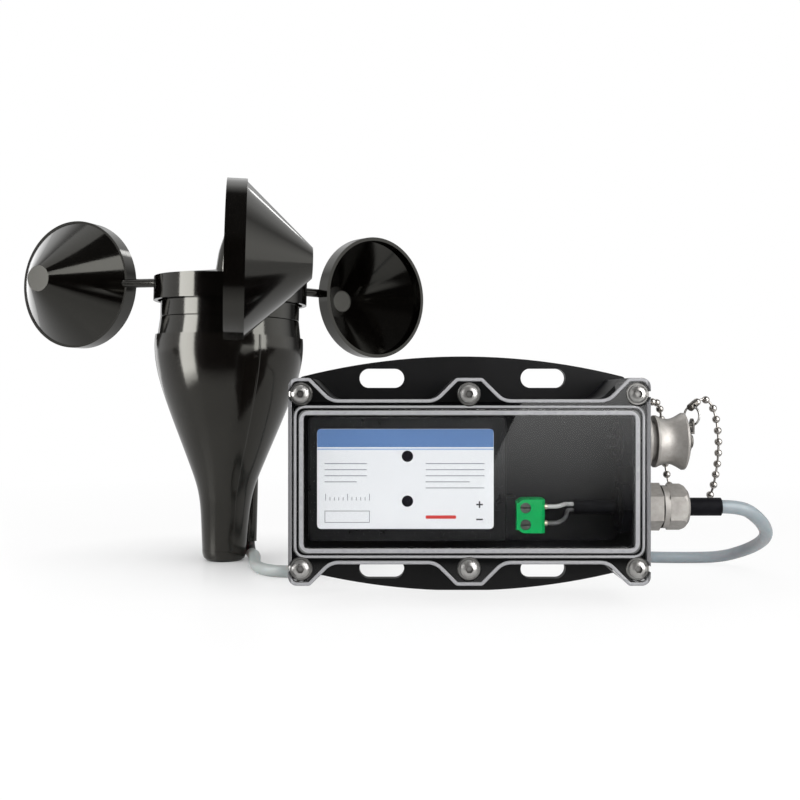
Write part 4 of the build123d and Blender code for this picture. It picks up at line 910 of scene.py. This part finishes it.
def makeFloor():
    bm = bmesh.new()
    bmesh.ops.create_grid(bm, x_segments=8, y_segments=8, size=floorLook["half"])
    floor = addMesh("studio_floor", bm, smooth=False)
    floor.location = floorLook["place"]
    made, tree, shader = newMaterial("studio_floor")
    setOn(shader, {"Base Color": (*floorLook["colour"], 1), **floorLook["fixed"]})
    reach = addNode(tree, "ShaderNodeVectorMath", {0: objectPlace(tree)},
                    operation="LENGTH").outputs["Value"]
    far = between(tree, reach, 0, 1, floorLook["fadeStart"], floorLook["fadeEnd"])
    path = addNode(tree, "ShaderNodeLightPath").outputs
    mirrored = math1(tree, "MAXIMUM", path["Is Glossy Ray"], path["Is Transmission Ray"])
    seen = math1(tree, "MAXIMUM", path["Is Camera Ray"], mirrored)
    share = between(tree, far, 1 - floorLook["shadowShare"], 1.0, 0, 1)
    nearBoot = addNode(tree, "ShaderNodeVectorMath", {
        0: objectPlace(tree), 1: floorLook["bootPlace"],
    }, operation="DISTANCE").outputs["Value"]
    nearBoot = between(tree, nearBoot, floorLook["bootShare"], 0, *floorLook["bootReach"])
    share = math1(tree, "MULTIPLY", share, math1(tree, "SUBTRACT", 1.0, nearBoot))
    ahead = addNode(tree, "ShaderNodeSeparateXYZ", {0: objectPlace(tree)}).outputs[1]
    flag = between(tree, ahead, 1, 0, floorLook["flagTo"], floorLook["flagFrom"])
    flag = math1(tree, "MULTIPLY", flag, mirrored)
    share = math1(tree, "MAXIMUM", math1(tree, "MULTIPLY", share, seen), flag)
    bright = math1(tree, "SUBTRACT", 1.0,
                   math1(tree, "MULTIPLY", flag, floorLook["flagDark"]))
    bright = math1(tree, "MULTIPLY", bright,
                   between(tree, mirrored, 1.0, floorLook["mirroredLevel"], 0, 1))
    glow = addNode(tree, "ShaderNodeEmission", {"Color": (1, 1, 1, 1), "Strength": bright})
    mix = addNode(tree, "ShaderNodeMixShader",
                  {0: share, 1: shader.outputs[0], 2: glow.outputs[0]})
    tree.links.new(mix.outputs[0], tree.nodes["Material Output"].inputs["Surface"])
    floor.data.materials.append(made)


makeFloor()

# lamps
lampSet = {
    "left": {"azimuth": -147, "distance": 0.85, "height": 0.33, "size": (0.46, 0.72),
             "radiance": 2.4, "mirrored": False},
    "right": {"azimuth": -12, "distance": 0.95, "height": 0.36, "size": (0.36, 0.66),
              "radiance": 1.8, "mirrored": False},
    "top": {"azimuth": -90, "distance": 0.10, "height": 1.15, "size": (0.9, 0.9),
            "radiance": 1.1, "mirrored": False},
    "key": {"azimuth": -52, "distance": 0.70, "height": 0.62, "size": (0.34, 0.34),
            "radiance": 3.5, "mirrored": True},
    "front": {"azimuth": -72, "distance": 1.3, "height": 0.45, "size": (0.8, 0.8),
              "radiance": 4.4, "mirrored": False},
}
lampAim = Vector((0.05, -0.03, 0.07))
for lampName, lamp in lampSet.items():
    data = bpy.data.lights.new("lamp_" + lampName, "AREA")
    data.shape = "RECTANGLE"
    data.size, data.size_y = lamp["size"]
    data.energy = lamp["radiance"] * math.pi * data.size * data.size_y
    obj = bpy.data.objects.new("lamp_" + lampName, data)
    turn = math.radians(lamp["azimuth"])
    obj.location = (lamp["distance"] * math.cos(turn), lamp["distance"] * math.sin(turn),
                    lamp["height"])
    obj.rotation_euler = (lampAim - obj.location).to_track_quat("-Z", "Y").to_euler()
    obj.visible_camera = False
    obj.visible_glossy = lamp["mirrored"]
    bpy.context.scene.collection.objects.link(obj)

# Cards that only reflections see. Each has four corners, from its low left round to its top
# left, and a strength at each corner.
cardSet = {
    "window": {"corners": ((97.7, -250, 12), (260.0, -250, 12), (260.0, -250, 80),
                           (130.2, -250, 80)),
               "strengths": (0.0, 0.0, 2.5, 2.5)},
    "streakLeft": {"corners": ((-135, -65, 30), (-97, -114, 30), (-97, -114, 330),
                               (-135, -65, 330)),
                   "strengths": (12.0, 12.0, 12.0, 12.0)},
    "streakLow": {"corners": ((-135, -65, 2), (-97, -114, 2), (-97, -114, 30), (-135, -65, 30)),
                  "strengths": (1.5, 1.5, 12.0, 12.0)},
    "streakRight": {"corners": ((252, -243, 10), (318, -150, 10), (318, -150, 260),
                                (252, -243, 260)),
                    "strengths": (8.0, 8.0, 8.0, 8.0)},
    "overLeft": {"corners": ((-200, -150, 300), (-60, -150, 300), (-60, 60, 300),
                             (-200, 60, 300)),
                 "strengths": (1.2, 1.2, 1.2, 1.2)},
    "rimLeft": {"corners": ((-370, 310, 20), (-240, 390, 20), (-240, 390, 330), (-370, 310, 330)),
                "strengths": (1.3, 1.6, 1.6, 1.3)},
    "edgeLine": {"corners": ((157, 280, 307), (187, 280, 331), (163, 280, 376), (131, 280, 351)),
                 "strengths": (7.0, 7.0, 7.0, 7.0)},
}
cardFinish, tree, shader = newMaterial("studio_card")
glow = addNode(tree, "ShaderNodeEmission", {
    "Color": (1, 1, 1, 1),
    "Strength": addNode(tree, "ShaderNodeAttribute", attribute_name="glow").outputs["Fac"]})
tree.links.new(glow.outputs[0], tree.nodes["Material Output"].inputs["Surface"])


def makeCard(name, look, steps=10):
    bm = bmesh.new()
    glowing = bm.verts.layers.float.new("glow")
    lowLeft, lowRight, topRight, topLeft = [Vector(c) * mm for c in look["corners"]]
    a, b, c, d = look["strengths"]
    rows = []
    for i in range(steps + 1):
        v = i / steps
        row = []
        for j in range(steps + 1):
            u = j / steps
            vert = bm.verts.new(lowLeft.lerp(lowRight, u).lerp(topLeft.lerp(topRight, u), v))
            vert[glowing] = (a + (b - a) * u) * (1 - v) + (d + (c - d) * u) * v
            row.append(vert)
        rows.append(row)
    for low, high in zip(rows, rows[1:]):
        for j in range(steps):
            bm.faces.new((low[j], low[j + 1], high[j + 1], high[j]))
    card = addMesh("studio_card_" + name, bm, smooth=False)
    card.data.materials.append(cardFinish)
    card.visible_camera = False
    card.visible_diffuse = False
    card.visible_shadow = False
    card.visible_transmission = False


for cardName, card in cardSet.items():
    makeCard(cardName, card)

# world
worldLook = {
    "diffuse": 0.70, "front": 0.02, "left": 0.95, "right": 1.5, "back": 0.45,
    "backRight": 0.2, "sky": 1.1, "skyFront": 0.06,
    # the share of each direction over which one level turns into the next
    "backFade": (0.05, 0.6), "backRightFade": (-0.16, 0.10), "rightFade": (0.75, 0.97),
    "leftFade": (-0.88, -0.62), "skyFade": (0.2, 0.5), "skyFrontFade": (0.15, 0.5),
}
world = bpy.data.worlds.new("studio")
bpy.context.scene.world = world
world.use_nodes = True
tree = world.node_tree
shader = tree.nodes["Background"]
path = addNode(tree, "ShaderNodeLightPath").outputs
way = addNode(tree, "ShaderNodeSeparateXYZ", {
    0: addNode(tree, "ShaderNodeTexCoord").outputs["Generated"]}).outputs
behind = math1(tree, "MULTIPLY",
               between(tree, way[1], 0, worldLook["back"], *worldLook["backFade"]),
               between(tree, way[0], 1, worldLook["backRight"], *worldLook["backRightFade"]))
mirrored = math1(tree, "MAXIMUM", behind, worldLook["front"])
rightward = between(tree, way[0], worldLook["front"], worldLook["right"],
                    *worldLook["rightFade"])
mirrored = math1(tree, "MAXIMUM", mirrored, rightward)
leftward = between(tree, way[0], worldLook["left"], worldLook["front"],
                   *worldLook["leftFade"])
mirrored = math1(tree, "MAXIMUM", mirrored, leftward)
above = math1(tree, "MULTIPLY",
              between(tree, way[2], 0, worldLook["sky"], *worldLook["skyFade"]),
              between(tree, way[1], worldLook["skyFront"], 1, *worldLook["skyFrontFade"]))
mirrored = math1(tree, "MAXIMUM", mirrored, above)
indirect = math1(tree, "MAXIMUM", path["Is Glossy Ray"], path["Is Transmission Ray"])
strength = math1(tree, "MULTIPLY_ADD", indirect,
                 math1(tree, "SUBTRACT", mirrored, worldLook["diffuse"]), worldLook["diffuse"])
rest = math1(tree, "SUBTRACT", 1.0, strength)
strength = math1(tree, "MULTIPLY_ADD", path["Is Camera Ray"], rest, strength)
shader.inputs["Color"].default_value = (1, 1, 1, 1)
tree.links.new(strength, shader.inputs["Strength"])
print("stage: floor, lamps and world")

bpy.context.view_layer.update()
